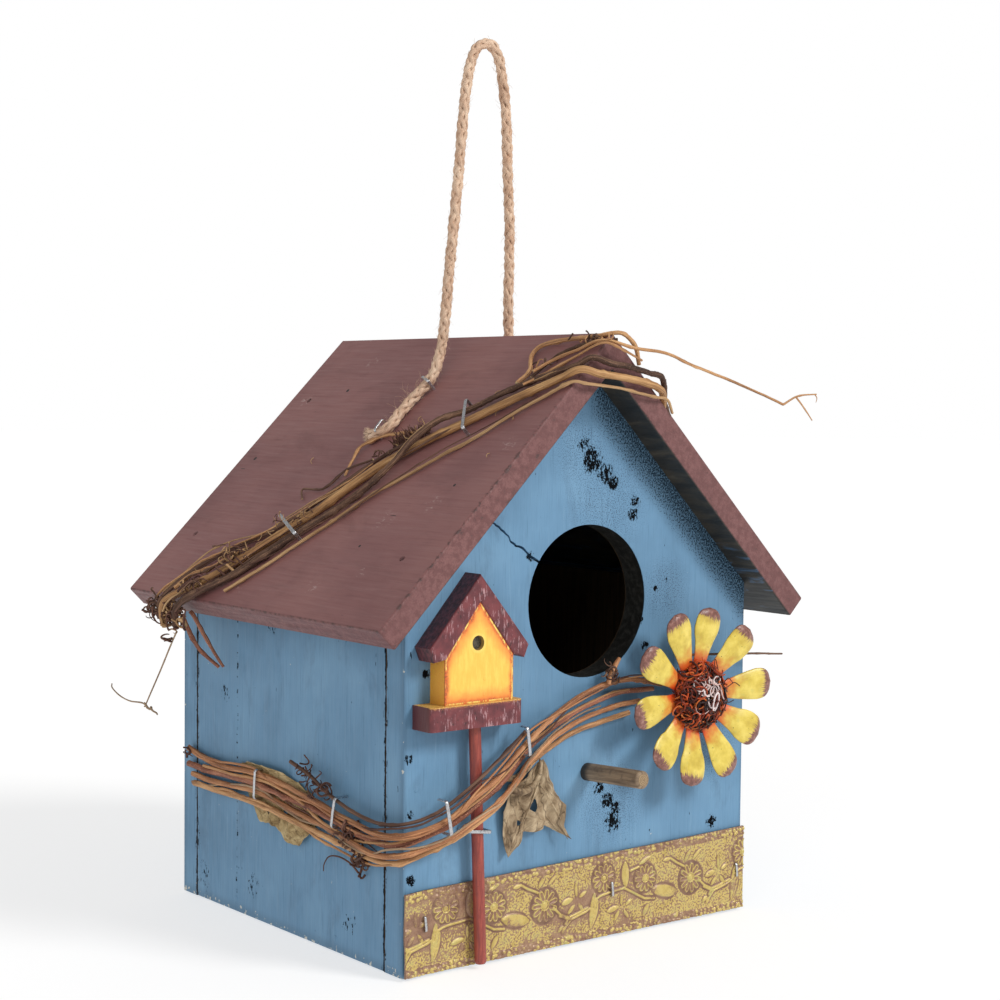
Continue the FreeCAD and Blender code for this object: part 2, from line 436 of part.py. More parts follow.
# ------------------------------------------------------------- hanging rope
# One length of rope, stapled down on both slopes. Its middle stands up as the
# loop that the house hangs by.
ROPE = [(-38.2, 3.2, slope(38.2, 2.1)), (-37.4, -4.6, slope(37.4, 2.1)), (-30.0, -3.4, slope(30.0, 2.1)),
        (-24.0, -4.6, slope(24.0, 2.1)), (-18.6, -7.2, slope(18.6, 2.7)), (-14.6, -6.6, 200.5), (-12.6, -6.2, 214.0),
        (-10.4, -6.0, 236.0), (-7.4, -6.0, 262.0), (-5.6, -6.0, 284.0), (-3.8, -6.0, 297.5), (-1.6, -6.0, 306.0),
        (1.6, -6.0, 309.9), (6.4, -6.0, 310.9), (10.0, -6.0, 307.2), (12.0, -6.0, 299.8), (14.0, -6.0, 286.0),
        (15.0, -6.0, 264.0), (16.4, -6.0, 240.0), (15.9, -5.8, 220.0), (16.6, -5.4, 205.0), (18.4, -5.0, 196.0),
        (21.6, -4.6, slope(21.6, 2.7)), (27.5, -3.4, slope(27.5, 2.1)), (33.5, -4.4, slope(33.5, 2.1)),
        (38.4, 1.6, slope(38.4, 2.1))]
save("hanging_rope", tube(ROPE, ROPE_R, "hanging_rope", True))
rs = []
for x, y, dx, dy in ((-37.8, -0.9, 1.9, 0.3), (-21.4, -5.8, 0.7, 2.6), (22.6, -4.5, 0.1, 2.7), (35.6, -1.9, -1.3, 2.1)):
    s = 1 if x > 0 else -1
    off = 4.6
    a = (x - dx, y - dy, slope(x - dx, off))
    b = (x + dx, y + dy, slope(x + dx, off))
    rs.append(staple(a, b, (-s * n, 0, -n), 10.5, 0.45))
save("rope_staples", rs)
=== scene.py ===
"""Looks of the hanging birdhouse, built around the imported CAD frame. Metres, row frame."""
import math

import bpy
import bmesh
import numpy as np
from mathutils import Matrix, Vector


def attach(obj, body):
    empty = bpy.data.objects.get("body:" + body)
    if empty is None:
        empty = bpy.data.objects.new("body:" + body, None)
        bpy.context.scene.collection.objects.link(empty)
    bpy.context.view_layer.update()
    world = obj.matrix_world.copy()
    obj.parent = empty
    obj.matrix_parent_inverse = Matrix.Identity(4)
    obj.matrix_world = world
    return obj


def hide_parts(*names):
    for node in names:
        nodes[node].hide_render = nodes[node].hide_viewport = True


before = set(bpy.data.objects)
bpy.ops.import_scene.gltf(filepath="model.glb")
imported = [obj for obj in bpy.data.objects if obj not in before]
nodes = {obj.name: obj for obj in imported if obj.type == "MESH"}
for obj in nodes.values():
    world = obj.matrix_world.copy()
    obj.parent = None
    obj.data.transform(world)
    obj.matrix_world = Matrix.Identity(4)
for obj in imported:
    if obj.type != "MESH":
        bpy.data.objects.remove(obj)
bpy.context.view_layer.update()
scene = bpy.context.scene
MM = 0.001
R2 = math.sqrt(2.0)
RIDGE_Z = 205.5

# ------------------------------------------------------------------ camera
az, el, roll = math.radians(-38.2627), math.radians(2.9878), math.radians(0.5755)
c_back = Vector((math.sin(az) * math.cos(el), -math.cos(az) * math.cos(el), math.sin(el)))
c_right = Vector((math.cos(az), math.sin(az), 0.0))
c_up = c_back.cross(c_right)
c_x = c_right * math.cos(roll) + c_up * math.sin(roll)
c_y = -c_right * math.sin(roll) + c_up * math.cos(roll)
cam_data = bpy.data.cameras.new("camera")
cam_data.lens = 70.67
cam_data.sensor_width = 36.0
cam_data.clip_start = 0.01
cam_data.clip_end = 100.0
cam = bpy.data.objects.new("camera", cam_data)
scene.collection.objects.link(cam)
cam.matrix_world = Matrix(((c_x.x, c_y.x, c_back.x, -0.430515),
                           (c_x.y, c_y.y, c_back.y, -0.568240),
                           (c_x.z, c_y.z, c_back.z, 0.183885),
                           (0, 0, 0, 1)))
scene.camera = cam

# ------------------------------------------------------------ the rope's line
ROPE = [(-0.03820, 0.00320, 0.17027), (-0.03740, -0.00460, 0.17107), (-0.03000, -0.00340, 0.17847),
        (-0.02400, -0.00460, 0.18447), (-0.01860, -0.00720, 0.19072), (-0.01460, -0.00660, 0.20050),
        (-0.01260, -0.00620, 0.21400), (-0.01040, -0.00600, 0.23600), (-0.00740, -0.00600, 0.26200),
        (-0.00560, -0.00600, 0.28400), (-0.00380, -0.00600, 0.29750), (-0.00160, -0.00600, 0.30600),
        (0.00160, -0.00600, 0.30990), (0.00640, -0.00600, 0.31090), (0.01000, -0.00600, 0.30720),
        (0.01200, -0.00600, 0.29980), (0.01400, -0.00600, 0.28600), (0.01500, -0.00600, 0.26400),
        (0.01640, -0.00600, 0.24000), (0.01590, -0.00580, 0.22000), (0.01660, -0.00540, 0.20500),
        (0.01840, -0.00500, 0.19600), (0.02160, -0.00460, 0.18772), (0.02750, -0.00340, 0.18097),
        (0.03350, -0.00440, 0.17497), (0.03840, 0.00160, 0.17007)]
line_data = bpy.data.curves.new("rope_line", "CURVE")
line_data.dimensions = "3D"
line_data.resolution_u = 16
spline = line_data.splines.new("NURBS")
spline.points.add(len(ROPE) - 1)
for point, where in zip(spline.points, ROPE):
    point.co = (where[0], where[1], where[2], 1.0)
spline.order_u = 3
spline.use_endpoint_u = True
line = bpy.data.objects.new("rope_line", line_data)
scene.collection.objects.link(line)
bpy.context.view_layer.update()
line_mesh = bpy.data.meshes.new_from_object(line)
ROPE_LINE = np.array([v.co for v in line_mesh.vertices], float)
bpy.data.objects.remove(line)
bpy.data.meshes.remove(line_mesh)


# ------------------------------------------------------------ number helpers
def hash3(i, j, k, seed):
    n = (i * 374761393 + j * 668265263 + k * 1442695041 + (seed + 1) * 1274126177) & 0xFFFFFFFF
    n = ((n ^ (n >> 13)) * 1274126177) & 0xFFFFFFFF
    n = ((n ^ (n >> 15)) * 2246822519) & 0xFFFFFFFF
    return ((n ^ (n >> 16)) & 0xFFFFFF) / float(0xFFFFFF)


def vnoise(p, seed=0):
    """Smooth value noise from -1 to 1 at points p (..., 3)."""
    i = np.floor(p).astype(np.int64)
    f = p - i
    u = f * f * f * (f * (f * 6 - 15) + 10)
    r = 0.0
    for dx in (0, 1):
        wx = u[..., 0] if dx else 1 - u[..., 0]
        for dy in (0, 1):
            wy = u[..., 1] if dy else 1 - u[..., 1]
            for dz in (0, 1):
                wz = u[..., 2] if dz else 1 - u[..., 2]
                r = r + wx * wy * wz * hash3(i[..., 0] + dx, i[..., 1] + dy, i[..., 2] + dz, seed)
    return r * 2 - 1


def fbm(p, octaves=4, seed=0, gain=0.5):
    total, amp, norm = 0.0, 1.0, 0.0
    for o in range(octaves):
        total = total + amp * vnoise(p * (2.03 ** o), seed + 17 * o)
        norm += amp
        amp *= gain
    return total / norm


def worley(x, z, cell, seed=0):
    """Distance to the nearest jittered point and that point's random number, in 2-D."""
    gx, gz = np.floor(x / cell).astype(np.int64), np.floor(z / cell).astype(np.int64)
    best = np.full(x.shape, 1e9)
    rnd = np.zeros(x.shape)
    for dx in (-1, 0, 1):
        for dz in (-1, 0, 1):
            cx, cz = gx + dx, gz + dz
            zero = np.zeros_like(cx)
            px = (cx + 0.12 + 0.76 * hash3(cx, cz, zero, seed)) * cell
            pz = (cz + 0.12 + 0.76 * hash3(cx, cz, zero + 5, seed)) * cell
            d = np.hypot(x - px, z - pz)
            near = d < best
            best = np.where(near, d, best)
            rnd = np.where(near, hash3(cx, cz, zero + 9, seed), rnd)
    return best, rnd


def sstep(x, lo, hi):
    t = np.clip((x - lo) / (hi - lo), 0, 1)
    return t * t * (3 - 2 * t)


def slope(x, off):
    """Height in mm of a point over the roof, standing off it square to the slope."""
    return RIDGE_Z - abs(x) + off * R2


def resample(q, step):
    d = np.r_[0, np.cumsum(np.linalg.norm(np.diff(q, axis=0), axis=1))]
    n = max(3, int(round(d[-1] / step)) + 1)
    s = np.linspace(0, d[-1], n)
    return np.stack([np.interp(s, d, q[:, k]) for k in range(3)], 1)


def smooth_path(pts, step=0.5):
    """A smooth line in mm through the points, at an even step."""
    p = np.array(pts, float)
    p = np.vstack([2 * p[0] - p[1], p, 2 * p[-1] - p[-2]])
    out = []
    for i in range(1, len(p) - 2):
        p0, p1, p2, p3 = p[i - 1:i + 3]
        n = max(6, int(np.linalg.norm(p2 - p1) / 0.3))
        t = np.linspace(0, 1, n, endpoint=False)[:, None]
        out.append(0.5 * (2 * p1 + (p2 - p0) * t + (2 * p0 - 5 * p1 + 4 * p2 - p3) * t ** 2
                          + (3 * p1 - p0 - 3 * p2 + p3) * t ** 3))
    out.append(p[-2][None])
    return resample(np.vstack(out), step)


def frames_of(q, hint=(0.13, 0.21, 0.97)):
    t = np.gradient(q, axis=0)
    t /= np.maximum(np.linalg.norm(t, axis=1), 1e-9)[:, None]
    n = np.zeros_like(t)
    a = np.cross(t[0], hint)
    if np.linalg.norm(a) < 1e-3:
        a = np.cross(t[0], (0.0, 1.0, 0.0))
    n[0] = a / np.linalg.norm(a)
    for i in range(1, len(q)):
        a = n[i - 1] - t[i] * (n[i - 1] @ t[i])
        n[i] = a / max(np.linalg.norm(a), 1e-9)
    return t, n, np.cross(t, n)


def length_of(q):
    return float(np.linalg.norm(np.diff(q, axis=0), axis=1).sum())


# --------------------------------------------------------------- mesh helper
class Build:
    """Collects vertices (mm), faces and point attributes into one object."""

    def __init__(self):
        self.v, self.f, self.m, self.s = [], [], [], []
        self.co, self.rnd = [], []
        self.n = 0

    def add(self, verts, faces, mat=0, smooth=True, coord=None, rnd=0.0):
        verts = np.asarray(verts, float)
        base = self.n
        self.v.append(verts)
        self.f.extend([tuple(base + i for i in f) for f in faces])
        self.m.extend([mat] * len(faces))
        self.s.extend([smooth] * len(faces))
        self.co.append(np.zeros((len(verts), 3)) if coord is None else np.asarray(coord, float))
        self.rnd.append(np.full(len(verts), rnd) if np.isscalar(rnd) else np.asarray(rnd, float))
        self.n += len(verts)

    def tube(self, q, rad, sides=12, mat=0, cap_mat=None, rnd=0.0, squash=None, s0=0.0, frames=None, cap=True, tip=False):
        """Sweep along q. rad is a number, one per sample, or (samples, sides)."""
        q = np.asarray(q, float)
        n = len(q)
        t, nn, bb = frames_of(q) if frames is None else frames
        th = np.linspace(0, 2 * np.pi, sides, endpoint=False)
        rad = np.broadcast_to(np.asarray(rad, float).reshape(-1, 1) if np.ndim(rad) == 1 else rad, (n, sides))
        ka, kb = squash if squash else (1.0, 1.0)
        v = (q[:, None, :] + (rad * np.cos(th) * ka)[..., None] * nn[:, None, :]
             + (rad * np.sin(th) * kb)[..., None] * bb[:, None, :])
        d = np.r_[0, np.cumsum(np.linalg.norm(np.diff(q, axis=0), axis=1))] + s0
        co = np.stack([np.broadcast_to(d[:, None], (n, sides)), np.broadcast_to(np.cos(th), (n, sides)),
                       np.broadcast_to(np.sin(th), (n, sides))], -1)
        faces = []
        for i in range(n - 1):
            a, b = i * sides, (i + 1) * sides
            for j in range(sides):
                k = (j + 1) % sides
                faces.append((a + j, a + k, b + k, b + j))
        self.add(v.reshape(-1, 3), faces, mat, True, co.reshape(-1, 3), rnd)
        if cap:
            for end in (0, -1):
                ring = v[end]
                centre = q[end] + (t[end] * (0.05 if end else -0.05)) * float(rad[end].mean())
                inner = centre + (ring - q[end]) * 0.55
                vv = np.vstack([ring, inner, centre[None]])
                cc = np.vstack([co[end], co[end] * (1, 0.55, 0.55), [[d[end], 0, 0]]])
                ff = []
                for j in range(sides):
                    k = (j + 1) % sides
                    quad = (j, k, sides + k, sides + j)
                    tri = (sides + j, sides + k, 2 * sides)
                    ff += [quad, tri] if end else [quad[::-1], tri[::-1]]
                self.add(vv, ff, mat if cap_mat is None else cap_mat, False, cc, rnd)
        return v

    def make(self, name, mats, body="house", replaces=(), extra=None, scale=MM):
        me = bpy.data.meshes.new(name)
        verts = np.vstack(self.v) * scale
        me.from_pydata(verts.tolist(), [], self.f)
        for m in mats:
            me.materials.append(m)
        me.polygons.foreach_set("material_index", self.m)
        me.polygons.foreach_set("use_smooth", self.s)
        a = me.attributes.new("tube", "FLOAT_VECTOR", "POINT")
        a.data.foreach_set("vector", np.vstack(self.co).astype(np.float32).ravel())
        a = me.attributes.new("rnd", "FLOAT", "POINT")
        a.data.foreach_set("value", np.concatenate(self.rnd).astype(np.float32))
        for key, values in (extra or {}).items():
            a = me.attributes.new(key, "FLOAT", "POINT")
            a.data.foreach_set("value", np.asarray(values, np.float32))
        me.validate()
        me.update()
        o = bpy.data.objects.new(name, me)
        scene.collection.objects.link(o)
        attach(o, body)
        if replaces:
            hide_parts(*replaces)
        return o


# ------------------------------------------------------------ material helper
def C(r, g, b):
    def lin(c):
        c /= 255.0
        return c / 12.92 if c <= 0.04045 else ((c + 0.055) / 1.055) ** 2.4
    return (lin(r), lin(g), lin(b), 1.0)


class Mat:
    def __init__(self, name, rough=0.6, metal=0.0, spec=0.5):
        self.mat = bpy.data.materials.new(name)
        self.mat.use_nodes = True
        self.nt = self.mat.node_tree
        self.nt.nodes.clear()
        self.out = self.new("ShaderNodeOutputMaterial")
        self.b = self.new("ShaderNodeBsdfPrincipled")
        self.nt.links.new(self.b.outputs[0], self.out.inputs[0])
        self.b.inputs["Roughness"].default_value = rough
        self.b.inputs["Metallic"].default_value = metal
        self.b.inputs["Specular IOR Level"].default_value = spec
        self.p = self.vmul(self.new("ShaderNodeTexCoord").outputs["Object"], (1000, 1000, 1000))
        self._sep = None

    def new(self, kind):
        return self.nt.nodes.new(kind)

    def put(self, socket, value):
        if isinstance(value, bpy.types.NodeSocket):
            self.nt.links.new(value, socket)
        elif value is not None:
            socket.default_value = value

    def vmul(self, v, k):
        n = self.new("ShaderNodeVectorMath")
        n.operation = "MULTIPLY"
        self.put(n.inputs[0], v)
        n.inputs[1].default_value = k
        return n.outputs[0]

    def vadd(self, v, k):
        n = self.new("ShaderNodeVectorMath")
        n.operation = "ADD"
        self.put(n.inputs[0], v)
        self.put(n.inputs[1], k)
        return n.outputs[0]

    def math(self, op, a, b=0.0, c=0.0, clamp=False):
        n = self.new("ShaderNodeMath")
        n.operation = op
        n.use_clamp = clamp
        for s, v in zip(n.inputs, (a, b, c)):
            self.put(s, v)
        return n.outputs[0]

    def xyz(self):
        if self._sep is None:
            n = self.new("ShaderNodeSeparateXYZ")
            self.put(n.inputs[0], self.p)
            self._sep = n.outputs
        return self._sep

    def noise(self, v, scale, detail=3.0, rough=0.5, dist=0.0):
        n = self.new("ShaderNodeTexNoise")
        self.put(n.inputs["Vector"], v)
        n.inputs["Scale"].default_value = scale
        n.inputs["Detail"].default_value = detail
        n.inputs["Roughness"].default_value = rough
        n.inputs["Distortion"].default_value = dist
        return n.outputs[0]

    def voro(self, v, scale, feature="F1", rnd=1.0):
        n = self.new("ShaderNodeTexVoronoi")
        n.feature = feature
        self.put(n.inputs["Vector"], v)
        n.inputs["Scale"].default_value = scale
        n.inputs["Randomness"].default_value = rnd
        return n.outputs["Distance"]

    def step(self, x, lo, hi, a=0.0, b=1.0):
        n = self.new("ShaderNodeMapRange")
        n.interpolation_type = "SMOOTHSTEP"
        self.put(n.inputs["Value"], x)
        for key, v in (("From Min", lo), ("From Max", hi), ("To Min", a), ("To Max", b)):
            self.put(n.inputs[key], v)
        return n.outputs[0]

    def ramp(self, x, stops):
        n = self.new("ShaderNodeValToRGB")
        self.put(n.inputs[0], x)
        e = n.color_ramp.elements
        while len(e) < len(stops):
            e.new(0.5)
        for el_, (pos, col) in zip(e, sorted(stops, key=lambda s: s[0])):
            el_.position = pos
            el_.color = col
        return n.outputs[0]

    def mix(self, fac, a, b, blend="MIX"):
        n = self.new("ShaderNodeMix")
        n.data_type = "RGBA"
        n.blend_type = blend
        n.clamp_factor = True
        self.put(n.inputs[0], fac)
        self.put(n.inputs[6], a)
        self.put(n.inputs[7], b)
        return n.outputs[2]

    def attr(self, name, vector=False):
        n = self.new("ShaderNodeAttribute")
        n.attribute_name = name
        return n.outputs["Vector"] if vector else n.outputs["Fac"]

    def blob(self, centre, radius):
        """1 at a point in mm, falling to 0 at the radius."""
        n = self.new("ShaderNodeVectorMath")
        n.operation = "DISTANCE"
        self.put(n.inputs[0], self.p)
        n.inputs[1].default_value = centre
        return self.step(n.outputs["Value"], radius, radius * 0.25)

    def bump(self, height, dist=0.1, strength=0.5, normal=None):
        n = self.new("ShaderNodeBump")
        n.inputs["Strength"].default_value = strength
        n.inputs["Distance"].default_value = dist * MM
        self.put(n.inputs["Height"], height)
        self.put(n.inputs["Normal"], normal)
        return n.outputs[0]

    def done(self, col, rough=None, normal=None):
        self.put(self.b.inputs["Base Color"], col)
        self.put(self.b.inputs["Roughness"], rough)
        self.put(self.b.inputs["Normal"], normal)
        return self.mat


HOLE_C = (0.5, 0.0, 115.8)


def many_max(m, items):
    r = items[0]
    for i in items[1:]:
        r = m.math("MAXIMUM", r, i)
    return r


# ------------------------------------------------------------------ materials
# bare wood darkened nearly to black: painted shade for the inside of the box and its floor
def shaded_bare_wood(m):
    g = m.noise(m.vmul(m.p, (1, 1, 0.06)), 0.6, 5, 0.6, 0.4)
    return m.ramp(g, [(0.3, C(40, 32, 24)), (0.52, C(64, 50, 36)), (0.72, C(84, 68, 50))])


def blue_wall(name, face):
    m = Mat(name, 0.55)
    x, y, z = m.xyz()
    along = m.vmul(m.p, (1, 1, 0.045))
    cloud = m.noise(m.p, 0.028, 4, 0.55)
    grain = m.noise(along, 1.15, 6, 0.62, 0.15)
    fine = m.noise(m.vmul(m.p, (1, 1, 0.02)), 4.2, 3, 0.6)
    col = m.ramp(cloud, [(0.30, C(91, 130, 160)), (0.5, C(101, 142, 174)), (0.72, C(112, 153, 184))])
    col = m.mix(m.step(grain, 0.58, 0.74, 0, 0.50), col, C(76, 108, 134))
    col = m.mix(m.step(grain, 0.40, 0.26, 0, 0.30), col, C(128, 166, 192))
    col = m.mix(m.step(fine, 0.52, 0.66, 0, 0.20), col, C(62, 92, 118))
    stain = m.noise(m.vmul(m.p, (1, 1, 0.35)), 0.085, 5, 0.68, 0.4)
    col = m.mix(m.step(stain, 0.52, 0.74, 0, 0.42), col, C(70, 98, 122))
    # pores and black flecks that run with the grain
    fleck = m.noise(m.vmul(m.p, (1.0, 1.0, 0.22)), 0.95, 2, 0.5)
    where = m.noise(m.p, 0.06, 2, 0.5)
    thr = m.step(where, 0.40, 0.62, 0.83, 0.735)
    dark = m.step(m.math("SUBTRACT", fleck, thr), 0.0, 0.02)
    tiny = m.voro(m.vmul(m.p, (1, 1, 0.7)), 1.15)
    if face == "front":
        blobs = [((1.6, -70, 163.0), 6.5), ((-2.0, -70, 168.4), 3.8), ((7.6, -70, 158.4), 5.0), ((11.0, -70, 155.4), 4.0),
                 ((21.4, -70, 148.6), 3.6), ((20.6, -70, 144.4), 3.4), ((10.4, -70, 47.0), 4.3), ((12.8, -70, 39.6), 5.4),
                 ((14.2, -70, 43.8), 3.8), ((6.4, -70, 51.6), 3.4), ((60.0, -70, 33.5), 3.5), ((-24.6, -70, 131.8), 2.4),
                 ((-66.6, -70, 96.5), 2.4), ((24.0, -70, 108.0), 2.6), ((-72.0, -70, 31.0), 2.6), ((-72.5, -70, 52.0), 2.2),
                 ((-73.0, -70, 70.0), 2.3), ((26.6, -70, 99.0), 2.6), ((32.0, -70, 96.5), 2.4), ((-70.0, -70, 117.0), 2.2),
                 ((31.4, -70, 118.6), 1.5), ((36.2, -70, 121.4), 1.4)]
        cl = many_max(m, [m.blob(c, r) for c, r in blobs])
        haze = many_max(m, [m.blob(c, r) for c, r in [((9.0, -70, 150.0), 24.0), ((-2.0, -70, 166.0), 18.0), ((36.0, -70, 118.0), 15.0),
                                                      ((12.0, -70, 46.0), 20.0), ((60.0, -70, 60.0), 16.0)]])
        rub = m.noise(m.vmul(m.p, (1, 1, 0.62)), 1.25, 3, 0.75)
        speck = m.step(m.math("ADD", rub, m.math("MULTIPLY", cl, 0.20)), 0.625, 0.655)
        speck = m.math("MULTIPLY", speck, m.step(cl, 0.05, 0.3))
        mist = m.noise(m.p, 2.3, 2, 0.6)
        mist = m.math("MULTIPLY", m.step(mist, 0.53, 0.60), m.math("MULTIPLY", haze, 0.75))
        col = m.mix(mist, col, C(36, 54, 72))
        dark = m.math("MAXIMUM", dark, speck)
        # overspray of the dark eave stain, thickest under the right-hand slope, with a band of painted shade just below
        # that eave
        lee = m.math("SUBTRACT", m.math("MULTIPLY", m.math("SUBTRACT", RIDGE_Z, m.math("ADD", z, m.math("ABSOLUTE", x))), 1 / R2), 8.6)
        near = m.math("MULTIPLY", m.step(lee, 15.0, 0.5), m.step(x, -3.0, 6.0))
        spray = m.noise(m.vmul(m.p, (1, 1, 0.8)), 1.9, 3, 0.7)
        spray = m.step(m.math("ADD", spray, m.math("MULTIPLY", near, 0.16)), 0.60, 0.655)
        dark = m.math("MAXIMUM", dark, m.math("MULTIPLY", m.math("MULTIPLY", spray, m.step(near, 0.02, 0.3)), 0.85))
        # painted shade: the wall darkened in a band just below the right-hand eave
        col = m.mix(m.math("MULTIPLY", near, 0.35), col, C(60, 82, 100))
    if face == "left":
        wob = m.math("MULTIPLY", m.math("SUBTRACT", m.noise(m.vmul(m.p, (0, 0, 1)), 0.12, 3, 0.6), 0.5), 3.2)
        run = m.math("ABSOLUTE", m.math("SUBTRACT", m.math("ADD", y, wob), 31.6))
        dash = m.noise(m.vmul(m.p, (0, 0, 1)), 0.30, 3, 0.7)
        dash = m.math("MULTIPLY", m.step(dash, 0.50, 0.60), m.step(z, 116, 104))
        crack = m.math("MULTIPLY", m.step(run, 0.62, 0.22), dash)
        dark = m.math("MAXIMUM", dark, crack)
        cl = many_max(m, [m.blob(c, r) for c, r in [((-75, 64, 20), 9.0), ((-75, 55, 9), 7.0), ((-75, 20, 12), 6.0), ((-75, -40, 12), 6.0),
                                                    ((-75, 10, 104), 5.0), ((-75, 40, 78), 5.0), ((-75, 62, 92), 7.0)]])
        rub = m.noise(m.vmul(m.p, (1, 1, 0.5)), 0.95, 3, 0.7)
        speck = m.math("MULTIPLY", m.step(m.math("ADD", rub, m.math("MULTIPLY", cl, 0.10)), 0.655, 0.685), m.step(cl, 0.05, 0.3))
        dark = m.math("MAXIMUM", dark, speck)
    # open joints between the boards on the side faces
    side = m.step(m.math("ABSOLUTE", x), 74.4, 74.9)
    ay = m.math("ABSOLUTE", m.math("SUBTRACT", m.math("ABSOLUTE", y), 60.0))
    gap_w = m.step(m.noise(m.vmul(m.p, (0, 1, 1)), 0.16, 4, 0.7), 0.34, 0.66, 0.22, 0.85)
    wand = m.math("MULTIPLY", m.math("SUBTRACT", m.noise(m.vmul(m.p, (0, 0, 1)), 0.22, 3, 0.6), 0.5), 0.7)
    seam = m.math("MULTIPLY", m.step(m.math("DIVIDE", m.math("ADD", ay, wand), gap_w), 1.0, 0.55), side)
    frag = m.noise(m.vmul(m.p, (1, 1, 0.35)), 1.1, 2, 0.6)
    seam2 = m.math("MULTIPLY", m.math("MULTIPLY", m.step(ay, 1.9, 0.4), m.step(frag, 0.56, 0.61)), side)
    dark = m.math("MAXIMUM", dark, m.math("MAXIMUM", seam, seam2))
    # chips down to pale wood low on the edges
    chip = m.noise(m.p, 0.5, 3, 0.6)
    low = m.step(z, 4.5, 0.6)
    edge = m.math("MULTIPLY", m.step(m.math("ABSOLUTE", x), 73.4, 74.9), m.step(m.math("ABSOLUTE", y), 66.5, 69.8))
    chipm = m.step(m.math("ADD", chip, m.math("MULTIPLY", m.math("MAXIMUM", low, m.math("MULTIPLY", edge, 0.55)), 0.16)), 0.735, 0.775)
    col = m.mix(dark, col, C(12, 14, 17))
    col = m.mix(m.math("MULTIPLY", m.math("MAXIMUM", low, edge), 0.35), col, C(62, 88, 110))
    col = m.mix(chipm, col, C(196, 196, 188))
    # bare wood, darkened nearly to black as painted shade of the box's inside, on every hidden face
    inner = m.math("MULTIPLY", m.step(m.math("ABSOLUTE", x), 65.3, 65.05), m.step(m.math("ABSOLUTE", y), 60.4, 60.1))
    if face == "front":
        inner = m.step(y, -60.6, -60.2)
        hd = m.new("ShaderNodeVectorMath")
        hd.operation = "DISTANCE"
        m.put(hd.inputs[0], m.vmul(m.p, (1, 0, 1)))
        hd.inputs[1].default_value = HOLE_C
        # painted shade: the bore of the entrance hole coloured near-black
        bore_painted_shade = m.math("MULTIPLY", m.step(hd.outputs["Value"], 26.35, 26.05), m.step(y, -69.95, -69.6))
        col = m.mix(bore_painted_shade, col, m.mix(m.step(m.noise(m.p, 0.5, 4, 0.7), 0.42, 0.68), C(22, 22, 20), C(50, 50, 47)))
    if face == "back":
        inner = m.step(y, 60.6, 60.2)
    if face == "left":
        inner = m.step(x, -65.4, -65.1)
    if face == "right":
        inner = m.step(x, 65.4, 65.1)
    col = m.mix(inner, col, shaded_bare_wood(m))
    h = m.math("ADD", m.math("MULTIPLY", grain, 0.6), m.math("MULTIPLY", fine, 0.35))
    h = m.math("SUBTRACT", h, m.math("MULTIPLY", dark, 1.3))
    m.put(m.b.inputs["Specular IOR Level"], m.step(dark, 0.0, 1.0, 0.42, 0.02))
    rough = m.step(grain, 0.3, 0.7, 0.46, 0.68)
    return m.done(col, rough, m.bump(h, 0.16, 0.55))


EAVE = max((abs(v.co.x) * 1000 + RIDGE_Z - v.co.z * 1000) / R2 for v in nodes["roof_panel_left"].data.vertices)


